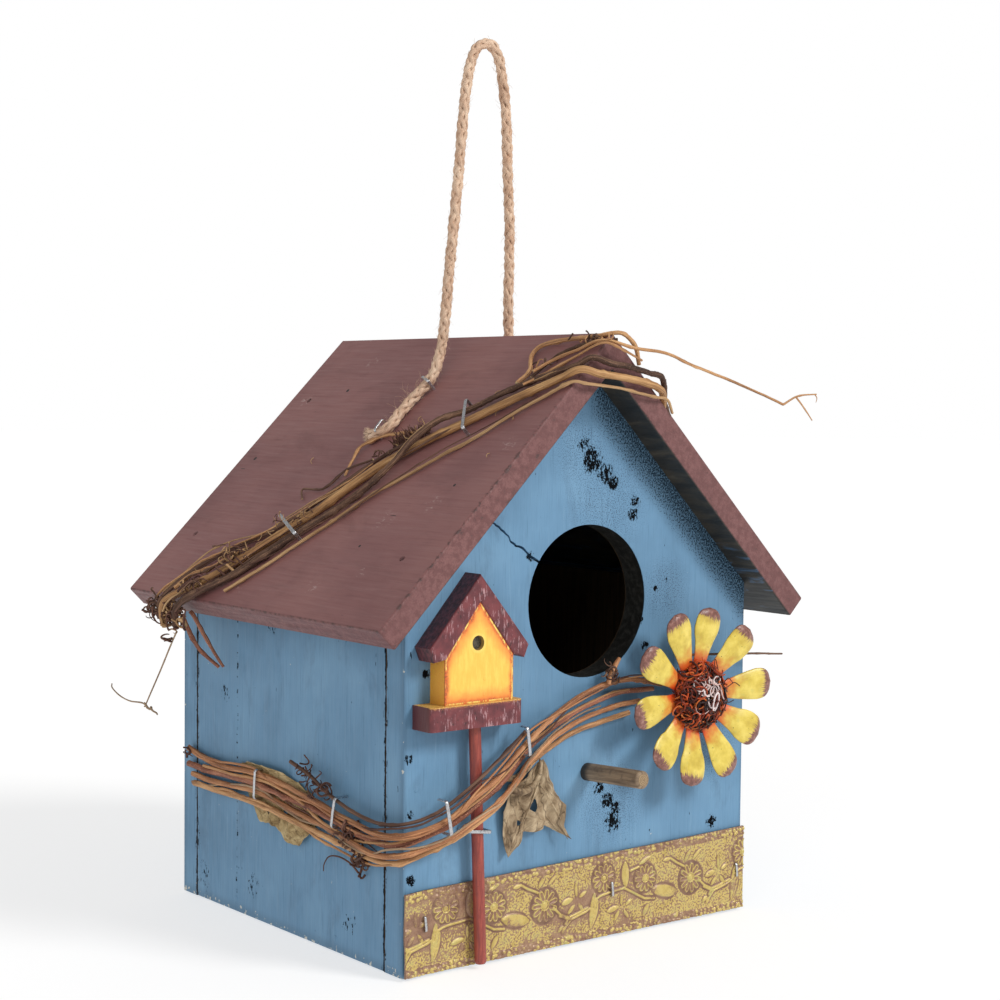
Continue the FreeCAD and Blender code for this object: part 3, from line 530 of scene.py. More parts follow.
def plum_roof(name, sign):
    m = Mat(name, 0.5)
    x, y, z = m.xyz()
    along = m.vmul(m.p, (1, 0.05, 1))
    cloud = m.noise(m.p, 0.024, 4, 0.55)
    grain = m.noise(along, 0.85, 6, 0.6, 0.25)
    fine = m.noise(m.vmul(m.p, (1, 0.03, 1)), 3.4, 3, 0.6)
    off = m.math("MULTIPLY", m.math("SUBTRACT", m.math("ADD", z, m.math("ABSOLUTE", x)), RIDGE_Z), 1 / R2)
    col = m.ramp(cloud, [(0.28, C(126, 83, 82)), (0.5, C(139, 94, 92)), (0.74, C(149, 103, 99))])
    col = m.mix(m.step(grain, 0.56, 0.76, 0, 0.34), col, C(104, 68, 68))
    col = m.mix(m.step(grain, 0.42, 0.26, 0, 0.22), col, C(166, 122, 116))
    col = m.mix(m.step(fine, 0.54, 0.68, 0, 0.16), col, C(88, 58, 58))
    blot = m.noise(m.vmul(m.p, (1, 0.5, 1)), 0.07, 5, 0.66, 0.6)
    col = m.mix(m.step(blot, 0.50, 0.72, 0, 0.40), col, C(112, 72, 70))
    scr = m.noise(m.vmul(m.p, (1, 0.10, 1)), 0.6, 2, 0.4)
    dark = m.step(scr, 0.775, 0.79)
    # white scuffs
    spots = [((-36.7, -72.8, 168.6), 4.5), ((-61.9, -40.0, 143.4), 6.0), ((-78.0, -50.0, 127.5), 3.0), ((-56.0, -58.0, 149.5), 5.0),
             ((-84.0, -30.0, 121.5), 4.5), ((-88.0, 10.0, 117.5), 3.2), ((-23.6, 67.4, 181.8), 5.0), ((-9.1, 44.3, 196.4), 4.0),
             ((40.0, 20.0, 165.5), 5.0), ((70.0, -40.0, 135.5), 4.0), ((60.0, 50.0, 145.5), 5.0)]
    sc = many_max(m, [m.blob(c, r) for c, r in spots])
    sn = m.noise(m.vmul(m.p, (1, 0.4, 1)), 0.75, 4, 0.7, 0.6)
    col = m.mix(m.math("MULTIPLY", m.step(sn, 0.53, 0.66), m.math("MULTIPLY", sc, 0.75)), col, C(192, 166, 162))
    nicks = [((-19.6, 45.5, 185.9), 1.1), ((-45.5, 69.0, 160.0), 1.2), ((-50.0, -62.0, 155.5), 0.9), ((-70.5, -38.0, 135.0), 0.8)]
    nick = many_max(m, [m.blob(c, r) for c, r in nicks])
    dark = m.math("MAXIMUM", dark, m.step(nick, 0.25, 0.6))
    # worn front and back fascias and their edges
    fascia = m.step(m.math("ABSOLUTE", m.math("ADD", y, 1.3)), 79.7, 80.3)
    down = m.math("MULTIPLY", m.math("ADD", m.math("ABSOLUTE", x), m.math("SUBTRACT", RIDGE_Z, z)), 1 / R2)
    fascia = m.math("MAXIMUM", fascia, m.step(down, EAVE - 0.7, EAVE - 0.25))
    mott = m.noise(m.p, 0.42, 5, 0.68)
    edge = m.math("MAXIMUM", m.step(m.math("ABSOLUTE", m.math("ADD", off, 4.35)), 3.2, 4.4), m.step(fascia, 0.05, 0.95, 0, 0.0))
    col = m.mix(m.math("MULTIPLY", fascia, m.step(mott, 0.40, 0.60, 0.55, 0.98)), col, C(102, 61, 60))
    nap = m.noise(m.p, 1.7, 4, 0.7)
    col = m.mix(m.math("MULTIPLY", fascia, m.step(nap, 0.50, 0.66, 0, 0.55)), col, C(88, 58, 56))
    col = m.mix(m.math("MULTIPLY", fascia, m.step(nap, 0.44, 0.30, 0, 0.30)), col, C(150, 104, 100))
    wear = m.math("MULTIPLY", m.step(m.math("ADD", mott, m.math("MULTIPLY", edge, 0.13)), 0.63, 0.71), fascia)
    col = m.mix(m.math("MULTIPLY", wear, 0.75), col, C(70, 48, 46))
    rim = m.math("MULTIPLY", m.step(off, -0.9, -0.1), m.step(m.math("ABSOLUTE", m.math("ADD", y, 1.3)), 78.6, 80.2))
    rim = m.math("MULTIPLY", rim, m.step(mott, 0.50, 0.60))
    col = m.mix(m.math("MULTIPLY", rim, 0.6), col, C(70, 52, 50))
    # dark underside, coloured nearly black, with smears of the wall's blue
    under = m.step(off, -8.1, -8.6)
    ucol = m.ramp(m.noise(m.vmul(m.p, (1, 0.25, 1)), 0.16, 5, 0.65, 0.5),
                  [(0.30, C(26, 26, 24)), (0.48, C(46, 44, 40)), (0.60, C(64, 58, 48)), (0.74, C(88, 82, 72))])
    smear = m.noise(m.vmul(m.p, (1, 0.16, 1)), 0.20, 4, 0.6, 1.2)
    smear = m.math("MULTIPLY", m.step(smear, 0.56, 0.66), m.step(m.math("ABSOLUTE", x), 52, 66))
    ucol = m.mix(m.math("MULTIPLY", smear, 0.7), ucol, C(72, 100, 128))
    col = m.mix(dark, col, C(38, 26, 28))
    col = m.mix(under, col, ucol)
    h = m.math("ADD", m.math("MULTIPLY", grain, 0.6), m.math("MULTIPLY", fine, 0.3))
    h = m.math("ADD", h, m.math("MULTIPLY", m.math("MULTIPLY", fascia, nap), 1.6))
    h = m.math("SUBTRACT", h, m.math("MULTIPLY", m.math("MAXIMUM", dark, wear), 0.7))
    return m.done(col, m.step(grain, 0.3, 0.7, 0.42, 0.62), m.bump(h, 0.16, 0.5))


def bark(name, light, mid, dark, streak=0.6, speck=0.0, rough=0.6, fine=1.0, bump=0.12):
    """Stem bark, drawn along the stem by the tube attribute (length in mm, cos, sin)."""
    m = Mat(name, rough, 0.0, 0.35)
    t = m.attr("tube", True)
    rnd = m.attr("rnd")
    shift = m.new("ShaderNodeCombineXYZ")
    m.put(shift.inputs[0], m.math("MULTIPLY", rnd, 731.0))
    t = m.vadd(t, shift.outputs[0])
    long_ = m.noise(m.vmul(t, (0.06, 2.4, 2.4)), 1.0 * fine, 4, 0.6, 0.2)
    patch = m.noise(m.vmul(t, (0.05, 0.5, 0.5)), 1.0, 3, 0.6)
    grit = m.noise(m.vmul(t, (1.1, 2.2, 2.2)), 1.6, 3, 0.65)
    col = m.ramp(m.math("ADD", m.math("MULTIPLY", long_, streak), m.math("MULTIPLY", patch, 1 - streak)),
                 [(0.34, dark), (0.50, mid), (0.66, light)])
    col = m.mix(m.step(grit, 0.60, 0.72, 0, 0.45 + 0.4 * speck), col, tuple(c * 0.28 for c in dark[:3]) + (1.0,))
    if speck:
        s = m.voro(m.vmul(t, (1.0, 1.6, 1.6)), 1.1)
        col = m.mix(m.math("MULTIPLY", m.step(s, 0.26, 0.16), speck), col, tuple(min(1, c * 1.6) for c in light[:3]) + (1.0,))
    h = m.math("ADD", m.math("MULTIPLY", long_, 0.8), m.math("MULTIPLY", grit, 0.5))
    return m.done(col, m.step(long_, 0.3, 0.7, rough - 0.1, rough + 0.12), m.bump(h, bump, 0.7))


def cut_wood(name, light, dark):
    m = Mat(name, 0.75, 0.0, 0.3)
    t = m.attr("tube", True)
    sp = m.new("ShaderNodeSeparateXYZ")
    m.put(sp.inputs[0], t)
    r = m.math("SQRT", m.math("ADD", m.math("MULTIPLY", sp.outputs[1], sp.outputs[1]), m.math("MULTIPLY", sp.outputs[2], sp.outputs[2])))
    ring = m.math("SINE", m.math("MULTIPLY", m.math("ADD", r, m.math("MULTIPLY", m.noise(t, 2.0, 3), 0.25)), 22.0))
    n = m.noise(m.vmul(t, (1, 5, 5)), 2.2, 4, 0.7)
    col = m.mix(m.step(ring, -0.6, 0.9, 0.15, 0.85), dark, light)
    col = m.mix(m.step(n, 0.52, 0.70, 0, 0.7), col, tuple(c * 0.35 for c in dark[:3]) + (1.0,))
    return m.done(col, None, m.bump(n, 0.15, 0.7))


def steel(name, base=(0.56, 0.57, 0.60, 1), rough=0.28, tarnish=0.5):
    m = Mat(name, rough, 1.0)
    n = m.noise(m.p, 0.9, 5, 0.65)
    s = m.noise(m.vmul(m.p, (3, 3, 0.6)), 2.0, 3, 0.6)
    col = m.mix(m.step(n, 0.46, 0.70, 0, tarnish), base, C(96, 88, 82))
    return m.done(col, m.step(s, 0.3, 0.7, rough - 0.08, rough + 0.16), m.bump(s, 0.03, 0.4))


MAT = {
    "front": blue_wall("blue_front", "front"), "back": blue_wall("blue_back", "back"),
    "left": blue_wall("blue_left", "left"), "right": blue_wall("blue_right", "right"),
    "door": blue_wall("blue_door", "door"), "roof": plum_roof("plum_roof", -1),
    "tan": bark("bark_tan", C(226, 182, 130), C(184, 134, 90), C(94, 62, 42), 0.55, 0.25, 0.6, 1.3, 0.2),
    "honey": bark("bark_honey", C(212, 170, 118), C(166, 122, 78), C(84, 58, 40), 0.55, 0.0, 0.6, 1.3, 0.2),
    "orange": bark("bark_orange", C(218, 166, 118), C(168, 112, 74), C(78, 48, 34), 0.55, 0.3, 0.6, 1.3, 0.2),
    "red": bark("bark_red", C(196, 138, 106), C(142, 88, 66), C(66, 40, 32), 0.45, 0.6, 0.6, 1.3, 0.2),
    "pale": bark("bark_pale", C(204, 180, 150), C(158, 130, 102), C(92, 70, 54), 0.55, 0.3, 0.6, 1.3, 0.2),
    "dark": bark("bark_dark", C(146, 112, 88), C(84, 60, 48), C(36, 26, 22), 0.5, 0.35, 0.8, 1.4, 0.25),
    "brown": bark("bark_brown", C(136, 104, 82), C(98, 70, 56), C(52, 36, 32), 0.5, 0.0, 0.7),
    "straw": bark("bark_straw", C(208, 176, 132), C(176, 138, 96), C(120, 88, 60), 0.6),
    "root": bark("bark_root", C(134, 94, 76), C(88, 58, 48), C(42, 28, 24), 0.5, 0.0, 0.8),
    "cut": cut_wood("cut_wood", C(226, 204, 160), C(176, 140, 96)),
    "end": cut_wood("end_grain", C(176, 152, 118), C(126, 104, 80)),
    "staple": steel("staple_steel_look", (0.54, 0.55, 0.57, 1), 0.26, 0.45),
    "steel_dull": steel("brad_look", (0.42, 0.42, 0.44, 1), 0.45, 0.6),
    "screw": steel("screw_steel_look", (0.60, 0.60, 0.62, 1), 0.32, 0.4),
}


def wood_board(name):
    m = Mat(name, 0.7)
    return m.done(shaded_bare_wood(m), None, m.bump(m.noise(m.vmul(m.p, (1, 1, 0.06)), 1.2, 4), 0.12, 0.5))


def ornament_paint(name, kind):
    m = Mat(name, 0.5)
    x, y, z = m.xyz()
    brush = m.noise(m.vmul(m.p, (1.0, 1.0, 0.16)), 1.25, 4, 0.65, 0.2)
    fine = m.noise(m.p, 2.6, 3, 0.6)
    if kind == "yellow":
        ax = m.math("ABSOLUTE", m.math("ADD", x, 51.4))
        # distance in from the outline: sides at 13.6, eaves slope up to the apex at 119.2
        side = m.math("SUBTRACT", 13.6, ax)
        roof = m.math("MULTIPLY", m.math("SUBTRACT", m.math("SUBTRACT", 119.2, z), m.math("MULTIPLY", ax, 1.294)), 0.611)
        base = m.math("SUBTRACT", z, 87.0)
        dist = m.math("MINIMUM", m.math("MINIMUM", side, roof), base)
        wob = m.math("MULTIPLY", m.math("SUBTRACT", m.noise(m.p, 0.35, 3, 0.6), 0.5), 2.6)
        d = m.math("ADD", dist, wob)
        col = m.mix(m.step(brush, 0.35, 0.70, 0.0, 0.7), C(238, 190, 78), C(252, 212, 100))
        d2 = m.math("ADD", m.math("MINIMUM", m.math("MULTIPLY", side, 1.6), m.math("MINIMUM", m.math("MULTIPLY", roof, 0.8), m.math("MULTIPLY", base, 0.75))), wob)
        col = m.mix(m.step(d2, 4.6, 0.4, 0, 0.72), col, C(240, 122, 52)) if True else col
        col = m.mix(m.step(d, 2.0, 0.2, 0, 0.7), col, C(206, 84, 40))
        col = m.mix(m.math("MULTIPLY", m.step(d, 1.4, 0.2), m.step(fine, 0.48, 0.60, 0, 0.75)), col, C(110, 52, 34))
        # painted highlight: a thin pale line just inside the body's outline
        line_ = m.step(m.math("ABSOLUTE", m.math("SUBTRACT", dist, 0.35)), 0.38, 0.12)
        col = m.mix(m.math("MULTIPLY", line_, m.step(brush, 0.44, 0.56, 0, 0.9)), col, C(246, 226, 120))
        side_face = m.step(y, -77.7, -77.3)
        col = m.mix(side_face, col, m.mix(m.step(fine, 0.45, 0.66), C(238, 180, 66), C(216, 122, 48)))
        hole = m.new("ShaderNodeVectorMath")
        hole.operation = "DISTANCE"
        m.put(hole.inputs[0], m.vmul(m.p, (1, 0, 1)))
        hole.inputs[1].default_value = (-52.0, 0.0, 106.1)
        r = hole.outputs["Value"]
        col = m.mix(m.step(r, 3.5, 2.9, 0, 0.35), col, C(250, 222, 120))
        inside = m.step(r, 2.42, 2.30)
        col = m.mix(inside, col, m.mix(m.step(fine, 0.40, 0.62), C(52, 48, 42), C(92, 84, 68)))
    else:
        face = m.step(y, -78.0, -78.4) if kind == "roof" else m.step(y, -78.9, -79.3)
        col = m.mix(m.step(m.noise(m.p, 0.25, 3), 0.35, 0.65), C(92, 40, 46), C(118, 54, 58))
        dry = m.noise(m.vmul(m.p, (1.0, 1.0, 0.13)), 1.7, 5, 0.72, 0.1)
        lumps = m.noise(m.p, 0.20, 3, 0.6)
        thr = m.step(lumps, 0.36, 0.62, 0.645, 0.535)
        strokes = m.step(m.math("SUBTRACT", dry, thr), 0.0, 0.05)
        col = m.mix(m.math("MULTIPLY", m.math("MULTIPLY", strokes, face), 0.55), col, C(206, 168, 172))
        dk = m.noise(m.vmul(m.p, (1, 1, 0.4)), 0.9, 4, 0.7)
        col = m.mix(m.step(dk, 0.58, 0.68, 0, 0.75), col, C(46, 26, 28))
        if kind == "roof":
            side_face = m.step(y, -78.3, -77.8)
            col = m.mix(side_face, col, m.mix(m.step(dk, 0.42, 0.58), C(62, 34, 38), C(106, 54, 56)))
        else:
            top = m.step(z, 86.6, 86.95)
            col = m.mix(top, col, m.mix(m.step(fine, 0.42, 0.56), C(238, 206, 100), C(170, 92, 52)))
            lip = m.math("MULTIPLY", m.step(z, 85.9, 86.7), m.step(fine, 0.50, 0.60))
            col = m.mix(m.math("MULTIPLY", lip, 0.8), col, C(226, 150, 80))
            left_end = m.step(x, -71.2, -71.7)
            col = m.mix(left_end, col, C(86, 42, 44))
    return m.done(col, m.step(brush, 0.3, 0.7, 0.40, 0.62), m.bump(m.math("ADD", brush, m.math("MULTIPLY", fine, 0.3)), 0.18, 0.5))


def pole_paint():
    m = Mat("pole_paint", 0.46)
    n = m.noise(m.vmul(m.p, (1, 1, 0.12)), 1.4, 4, 0.6)
    k = m.noise(m.p, 1.5, 3, 0.6)
    col = m.mix(m.step(n, 0.35, 0.68), C(132, 56, 48), C(164, 76, 62))
    col = m.mix(m.step(k, 0.62, 0.72, 0, 0.6), col, C(78, 38, 38))
    return m.done(col, m.step(n, 0.3, 0.7, 0.38, 0.55), m.bump(n, 0.1, 0.5))


def petal_paint():
    """rnd = position from base (0) to tip (1); tube = (petal number, across -1..1, rim)."""
    m = Mat("petal_paint_look", 0.34, 0.0, 0.5)
    t = m.attr("rnd")
    a = m.attr("tube", True)
    sp = m.new("ShaderNodeSeparateXYZ")
    m.put(sp.inputs[0], a)
    pid, across, rim = sp.outputs
    vec = m.new("ShaderNodeCombineXYZ")
    m.put(vec.inputs[0], m.math("MULTIPLY", across, 5.0))
    m.put(vec.inputs[1], m.math("MULTIPLY", t, 1.7))
    m.put(vec.inputs[2], m.math("MULTIPLY", pid, 7.3))
    brush = m.noise(vec.outputs[0], 2.6, 3, 0.62)
    soft = m.noise(m.p, 0.22, 3, 0.55)
    jag = m.math("MULTIPLY", m.math("SUBTRACT", brush, 0.5), 0.26)
    lean = m.math("MULTIPLY", m.math("MULTIPLY", across, m.math("SINE", m.math("MULTIPLY", pid, 4.1))), 0.05)
    tt = m.math("ADD", m.math("ADD", t, jag), lean)
    yellow = m.ramp(soft, [(0.34, C(198, 172, 66)), (0.5, C(216, 192, 82)), (0.66, C(230, 208, 102))])
    yellow = m.mix(m.step(m.noise(m.p, 0.30, 2), 0.60, 0.76, 0, 0.40), yellow, C(186, 182, 96))
    base = m.step(m.math("ADD", t, m.math("MULTIPLY", m.math("SUBTRACT", soft, 0.5), 0.55)), 0.56, 0.20)
    side = m.math("MULTIPLY", m.math("ABSOLUTE", across), 0.55)
    base = m.math("MULTIPLY", base, m.math("ADD", 0.55, side))
    col = m.mix(base, yellow, C(226, 104, 36))
    red = m.step(m.math("ADD", t, m.math("MULTIPLY", m.math("SUBTRACT", m.noise(m.p, 0.5, 3), 0.5), 0.3)), 0.46, 0.20)
    col = m.mix(m.math("MULTIPLY", red, 0.85), col, C(208, 50, 22))
    tip = m.step(tt, 0.865, 0.885)
    mauve = m.ramp(m.noise(m.p, 0.7, 4, 0.6), [(0.36, C(104, 66, 58)), (0.54, C(132, 88, 78)), (0.68, C(162, 122, 110))])
    under = m.math("MULTIPLY", m.step(tt, 0.78, 0.88), 0.22)
    col = m.mix(under, col, C(150, 110, 66))
    col = m.mix(tip, col, mauve)
    specks = m.voro(m.p, 0.42)
    pick = m.noise(m.p, 0.31, 1)
    col = m.mix(m.math("MULTIPLY", m.step(specks, 0.085, 0.055), m.step(pick, 0.46, 0.52)), col, C(58, 48, 24))
    col = m.mix(m.step(rim, 0.55, 0.9, 0, 0.9), col, m.mix(m.step(soft, 0.45, 0.55), C(92, 54, 44), C(132, 78, 54)))
    h = m.math("ADD", m.math("MULTIPLY", brush, 0.5), m.math("MULTIPLY", tip, 0.4))
    return m.done(col, m.step(brush, 0.3, 0.7, 0.26, 0.46), m.bump(h, 0.10, 0.5))


def tuft_look():
    m = Mat("tuft_look", 0.55, 0.0, 0.35)
    r = m.attr("rnd")
    t = m.attr("tube", True)
    n = m.noise(m.vmul(t, (0.5, 1, 1)), 1.2, 2)
    # the pale pink-white end of the ramp colours the threads that are partly a painted highlight
    col = m.ramp(m.math("ADD", r, m.math("MULTIPLY", m.math("SUBTRACT", n, 0.5), 0.12)),
                 [(0.0, C(22, 9, 8)), (0.30, C(54, 19, 14)), (0.48, C(122, 42, 21)), (0.64, C(198, 80, 32)), (0.76, C(222, 132, 64)),
                  (0.86, C(206, 170, 160)), (0.95, C(232, 216, 214))])
    return m.done(col, 0.42, None)


def strip_look():
    m = Mat("strip_look", 0.42, 0.12, 0.5)
    gold = m.attr("gold")
    crease_shade = m.attr("crease_shade")
    n = m.noise(m.p, 1.5, 4, 0.7)
    n2 = m.noise(m.p, 0.33, 3, 0.6)
    ground = m.ramp(n2, [(0.3, C(126, 92, 74)), (0.5, C(146, 112, 88)), (0.7, C(160, 128, 100))])
    ground = m.mix(m.step(n, 0.56, 0.70, 0, 0.5), ground, C(106, 74, 58))
    gcol = m.ramp(n2, [(0.3, C(182, 158, 84)), (0.5, C(200, 176, 102)), (0.72, C(184, 172, 102))])
    gcol = m.mix(m.step(n, 0.54, 0.68, 0, 0.45), gcol, C(152, 116, 68))
    g = m.math("ADD", gold, m.math("MULTIPLY", m.math("SUBTRACT", n, 0.5), 1.1))
    col = m.mix(m.step(g, 0.36, 0.64), ground, gcol)
    # painted shade: darker outline round the raised motifs and in the grooves beside them
    col = m.mix(m.step(crease_shade, 0.25, 0.9, 0, 0.50), col, C(84, 56, 44))
    # painted highlight: pale gold on the most gilded raised parts
    hi = m.step(m.math("MULTIPLY", gold, m.noise(m.p, 0.8, 2)), 0.58, 0.72)
    col = m.mix(m.math("MULTIPLY", hi, 0.30), col, C(232, 212, 146))
    return m.done(col, m.step(n, 0.3, 0.7, 0.30, 0.52), m.bump(n, 0.08, 0.5))


def leaf_look(name, light, mid, dark, width=50.0):
    m = Mat(name, 0.7, 0.0, 0.3)
    t = m.attr("tube", True)
    sp = m.new("ShaderNodeSeparateXYZ")
    m.put(sp.inputs[0], t)
    half = m.math("ABSOLUTE", m.math("SUBTRACT", sp.outputs[1], width * 0.5))
    bent = m.math("MULTIPLY", m.math("SUBTRACT", m.noise(t, 0.16, 3, 0.6), 0.5), 9.0)
    ribs = m.math("SINE", m.math("MULTIPLY", m.math("ADD", m.math("SUBTRACT", sp.outputs[0], m.math("MULTIPLY", half, 0.75)), bent), 1.25))
    ribs = m.math("MAXIMUM", m.step(ribs, 0.955, 0.99), m.step(half, 0.5, 0.15))
    vein = m.noise(t, 0.30, 5, 0.65, 0.8)
    patch = m.noise(m.p, 0.14, 4, 0.6)
    grit = m.noise(m.p, 2.2, 3, 0.7)
    col = m.ramp(m.math("ADD", m.math("MULTIPLY", vein, 0.5), m.math("MULTIPLY", patch, 0.5)), [(0.36, dark), (0.47, mid), (0.60, light)])
    col = m.mix(m.math("MULTIPLY", ribs, 0.5), col, tuple(c * 0.55 for c in dark[:3]) + (1.0,))
    col = m.mix(m.step(grit, 0.60, 0.72, 0, 0.4), col, tuple(c * 0.35 for c in dark[:3]) + (1.0,))
    return m.done(col, None, m.bump(m.math("ADD", m.math("ADD", vein, ribs), m.math("MULTIPLY", grit, 0.4)), 0.25, 0.8))


def dowel_look():
    m = Mat("dowel_look", 0.72)
    t = m.attr("tube", True)
    g = m.noise(m.vmul(t, (0.05, 2.2, 2.2)), 1.0, 5, 0.65, 0.2)
    k = m.noise(m.vmul(t, (0.35, 1.0, 1.0)), 1.0, 3, 0.6)
    col = m.ramp(g, [(0.3, C(92, 76, 60)), (0.48, C(130, 110, 88)), (0.68, C(166, 144, 116))])
    col = m.mix(m.step(k, 0.52, 0.68, 0, 0.5), col, C(92, 78, 66))
    sp = m.new("ShaderNodeSeparateXYZ")
    m.put(sp.inputs[0], t)
    # painted shade: a near-black ring on the perch where it enters the wall
    root = m.step(sp.outputs[0], 13.4, 10.4)
    col = m.mix(m.math("MULTIPLY", root, 0.92), col, C(34, 32, 30))
    return m.done(col, None, m.bump(g, 0.18, 0.6))


def jute():
    m = Mat("jute_look", 0.82, 0.0, 0.25)
    t = m.attr("tube", True)
    rnd = m.attr("rnd")
    sp = m.new("ShaderNodeSeparateXYZ")
    m.put(sp.inputs[0], t)
    crevice_shade = m.attr("crevice_shade")
    fib = m.noise(m.vmul(t, (0.35, 3.4, 3.4)), 1.5, 4, 0.7)
    patch = m.noise(m.p, 0.12, 3, 0.6)
    col = m.ramp(m.math("ADD", m.math("MULTIPLY", fib, 0.55), m.math("MULTIPLY", patch, 0.45)),
                 [(0.34, C(160, 124, 100)), (0.46, C(202, 168, 142)), (0.58, C(228, 200, 174)), (0.72, C(244, 224, 202))])
    col = m.mix(m.step(m.noise(m.p, 0.2, 2), 0.56, 0.70, 0, 0.22), col, C(208, 160, 126))
    # painted shade: strands darkened where they sink into the crevices between the plies
    col = m.mix(m.step(crevice_shade, 0.56, 0.10, 0, 0.80), col, C(112, 82, 62))
    return m.done(col, None, m.bump(fib, 0.16, 0.8))


MAT.update({
    "wood": wood_board("raw_wood_look"), "orn_y": ornament_paint("ornament_yellow_look", "yellow"),
    "orn_r": ornament_paint("ornament_roof_look", "roof"), "orn_l": ornament_paint("ornament_ledge_look", "ledge"),
    "pole": pole_paint(), "petal": petal_paint(), "tuft": tuft_look(), "strip": strip_look(),
    "leaf_a": leaf_look("leaf_olive", C(206, 184, 138), C(166, 142, 98), C(96, 72, 46)),
    "leaf_b": leaf_look("leaf_tan", C(188, 168, 138), C(144, 123, 96), C(78, 59, 43)),
    "dowel": dowel_look(), "jute": jute(),
})


# ---------------------------------------------------------- carried-over nodes
def dress(node, *mats):
    o = nodes[node]
    o.data.materials.clear()
    for m in mats:
        o.data.materials.append(m)


def ease_edges(node, width, segments=2, angle=35):
    o = nodes[node]
    w = o.modifiers.new("weld", "WELD")
    w.merge_threshold = 2e-6
    b = o.modifiers.new("bevel", "BEVEL")
    b.width = width * MM
    b.segments = segments
    b.limit_method = "ANGLE"
    b.angle_limit = math.radians(angle)
    b.harden_normals = False
    return o


for node, key in (("back_wall", "back"), ("left_wall", "left"), ("right_wall", "right"), ("floor_board", "wood"),
                  ("roof_panel_left", "roof"), ("roof_panel_right", "roof"), ("cleanout_door", "door"), ("cleanout_washer", "screw"),
                  ("cleanout_screw", "screw"), ("ornament_body", "orn_y"), ("ornament_roof", "orn_r"), ("ornament_ledge", "orn_l"),
                  ("roof_brads", "roof"), ("wall_brads", "door"), ("ornament_brads", "orn_y"), ("flower_nail", "screw")):
    dress(node, MAT[key])

# ------------------------------------------------- front board with its crack
CRACK = [(-41.6, 144.6), (-39.69, 143.18), (-38.69, 142.37), (-37.53, 141.45), (-35.99, 140.39), (-34.48, 139.2), (-33.68, 138.29),
         (-33.04, 137.23), (-31.57, 136.19), (-29.04, 135.18), (-26.92, 133.78), (-24.79, 132.21), (-22.66, 130.97),
         (-20.81, 129.77), (-19.0, 128.6), (-16.6, 127.0)]


def front_board():
    rng = np.random.default_rng(5)
    path = smooth_path([(x, 0, z) for x, z in CRACK], 0.5)
    n = len(path)
    side = np.array([0.55, 0.0, 0.835])
    wob = 0.28 * fbm(np.stack([np.arange(n) * 0.31, np.zeros(n), np.zeros(n)], 1), 3, 4)
    mid = path + side * wob[:, None]
    half = 0.30 + 0.20 * (0.5 + 0.5 * fbm(np.stack([np.arange(n) * 0.23, np.zeros(n) + 9, np.zeros(n)], 1), 3, 8))
    half *= 0.75 + 0.35 * np.linspace(0, 1, n)
    up = mid + side * (half + 0.05 * rng.random(n))[:, None]
    dn = mid - side * (half + 0.05 * rng.random(n))[:, None]
    bm = bmesh.new()
    y_front, y_deep = -71.5, -64.0
    rows = []
    for p, y in ((up, y_front), (dn, y_front), (dn, y_deep), (up, y_deep)):
        rows.append([bm.verts.new((q[0] * MM, y * MM, q[2] * MM)) for q in p])
    for i in range(n - 1):
        for a, b in ((0, 1), (1, 2), (2, 3), (3, 0)):
            bm.faces.new((rows[a][i], rows[b][i], rows[b][i + 1], rows[a][i + 1]))
    bm.faces.new([r[0] for r in rows][::-1])
    bm.faces.new([r[-1] for r in rows])
    bmesh.ops.recalc_face_normals(bm, faces=bm.faces)
    me = bpy.data.meshes.new("crack_cutter")
    bm.to_mesh(me)
    bm.free()
    cutter = bpy.data.objects.new("crack_cutter", me)
    scene.collection.objects.link(cutter)
    board = bpy.data.objects.new("front_board", nodes["front_wall"].data.copy())
    scene.collection.objects.link(board)
    w = board.modifiers.new("weld", "WELD")
    w.merge_threshold = 2e-6
    cut = board.modifiers.new("cut", "BOOLEAN")
    cut.operation = "DIFFERENCE"
    cut.solver = "EXACT"
    cut.object = cutter
    bpy.context.view_layer.update()
    dg = bpy.context.evaluated_depsgraph_get()
    made = bpy.data.meshes.new_from_object(board.evaluated_get(dg))
    if len(made.polygons) > 50:
        board.modifiers.clear()
        board.data = made
    board.data.materials.clear()
    board.data.materials.append(MAT["front"])
    board.data.polygons.foreach_set("material_index", [0] * len(board.data.polygons))
    bpy.data.objects.remove(cutter)
    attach(board, "house")
    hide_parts("front_wall")
    return board


front_board()


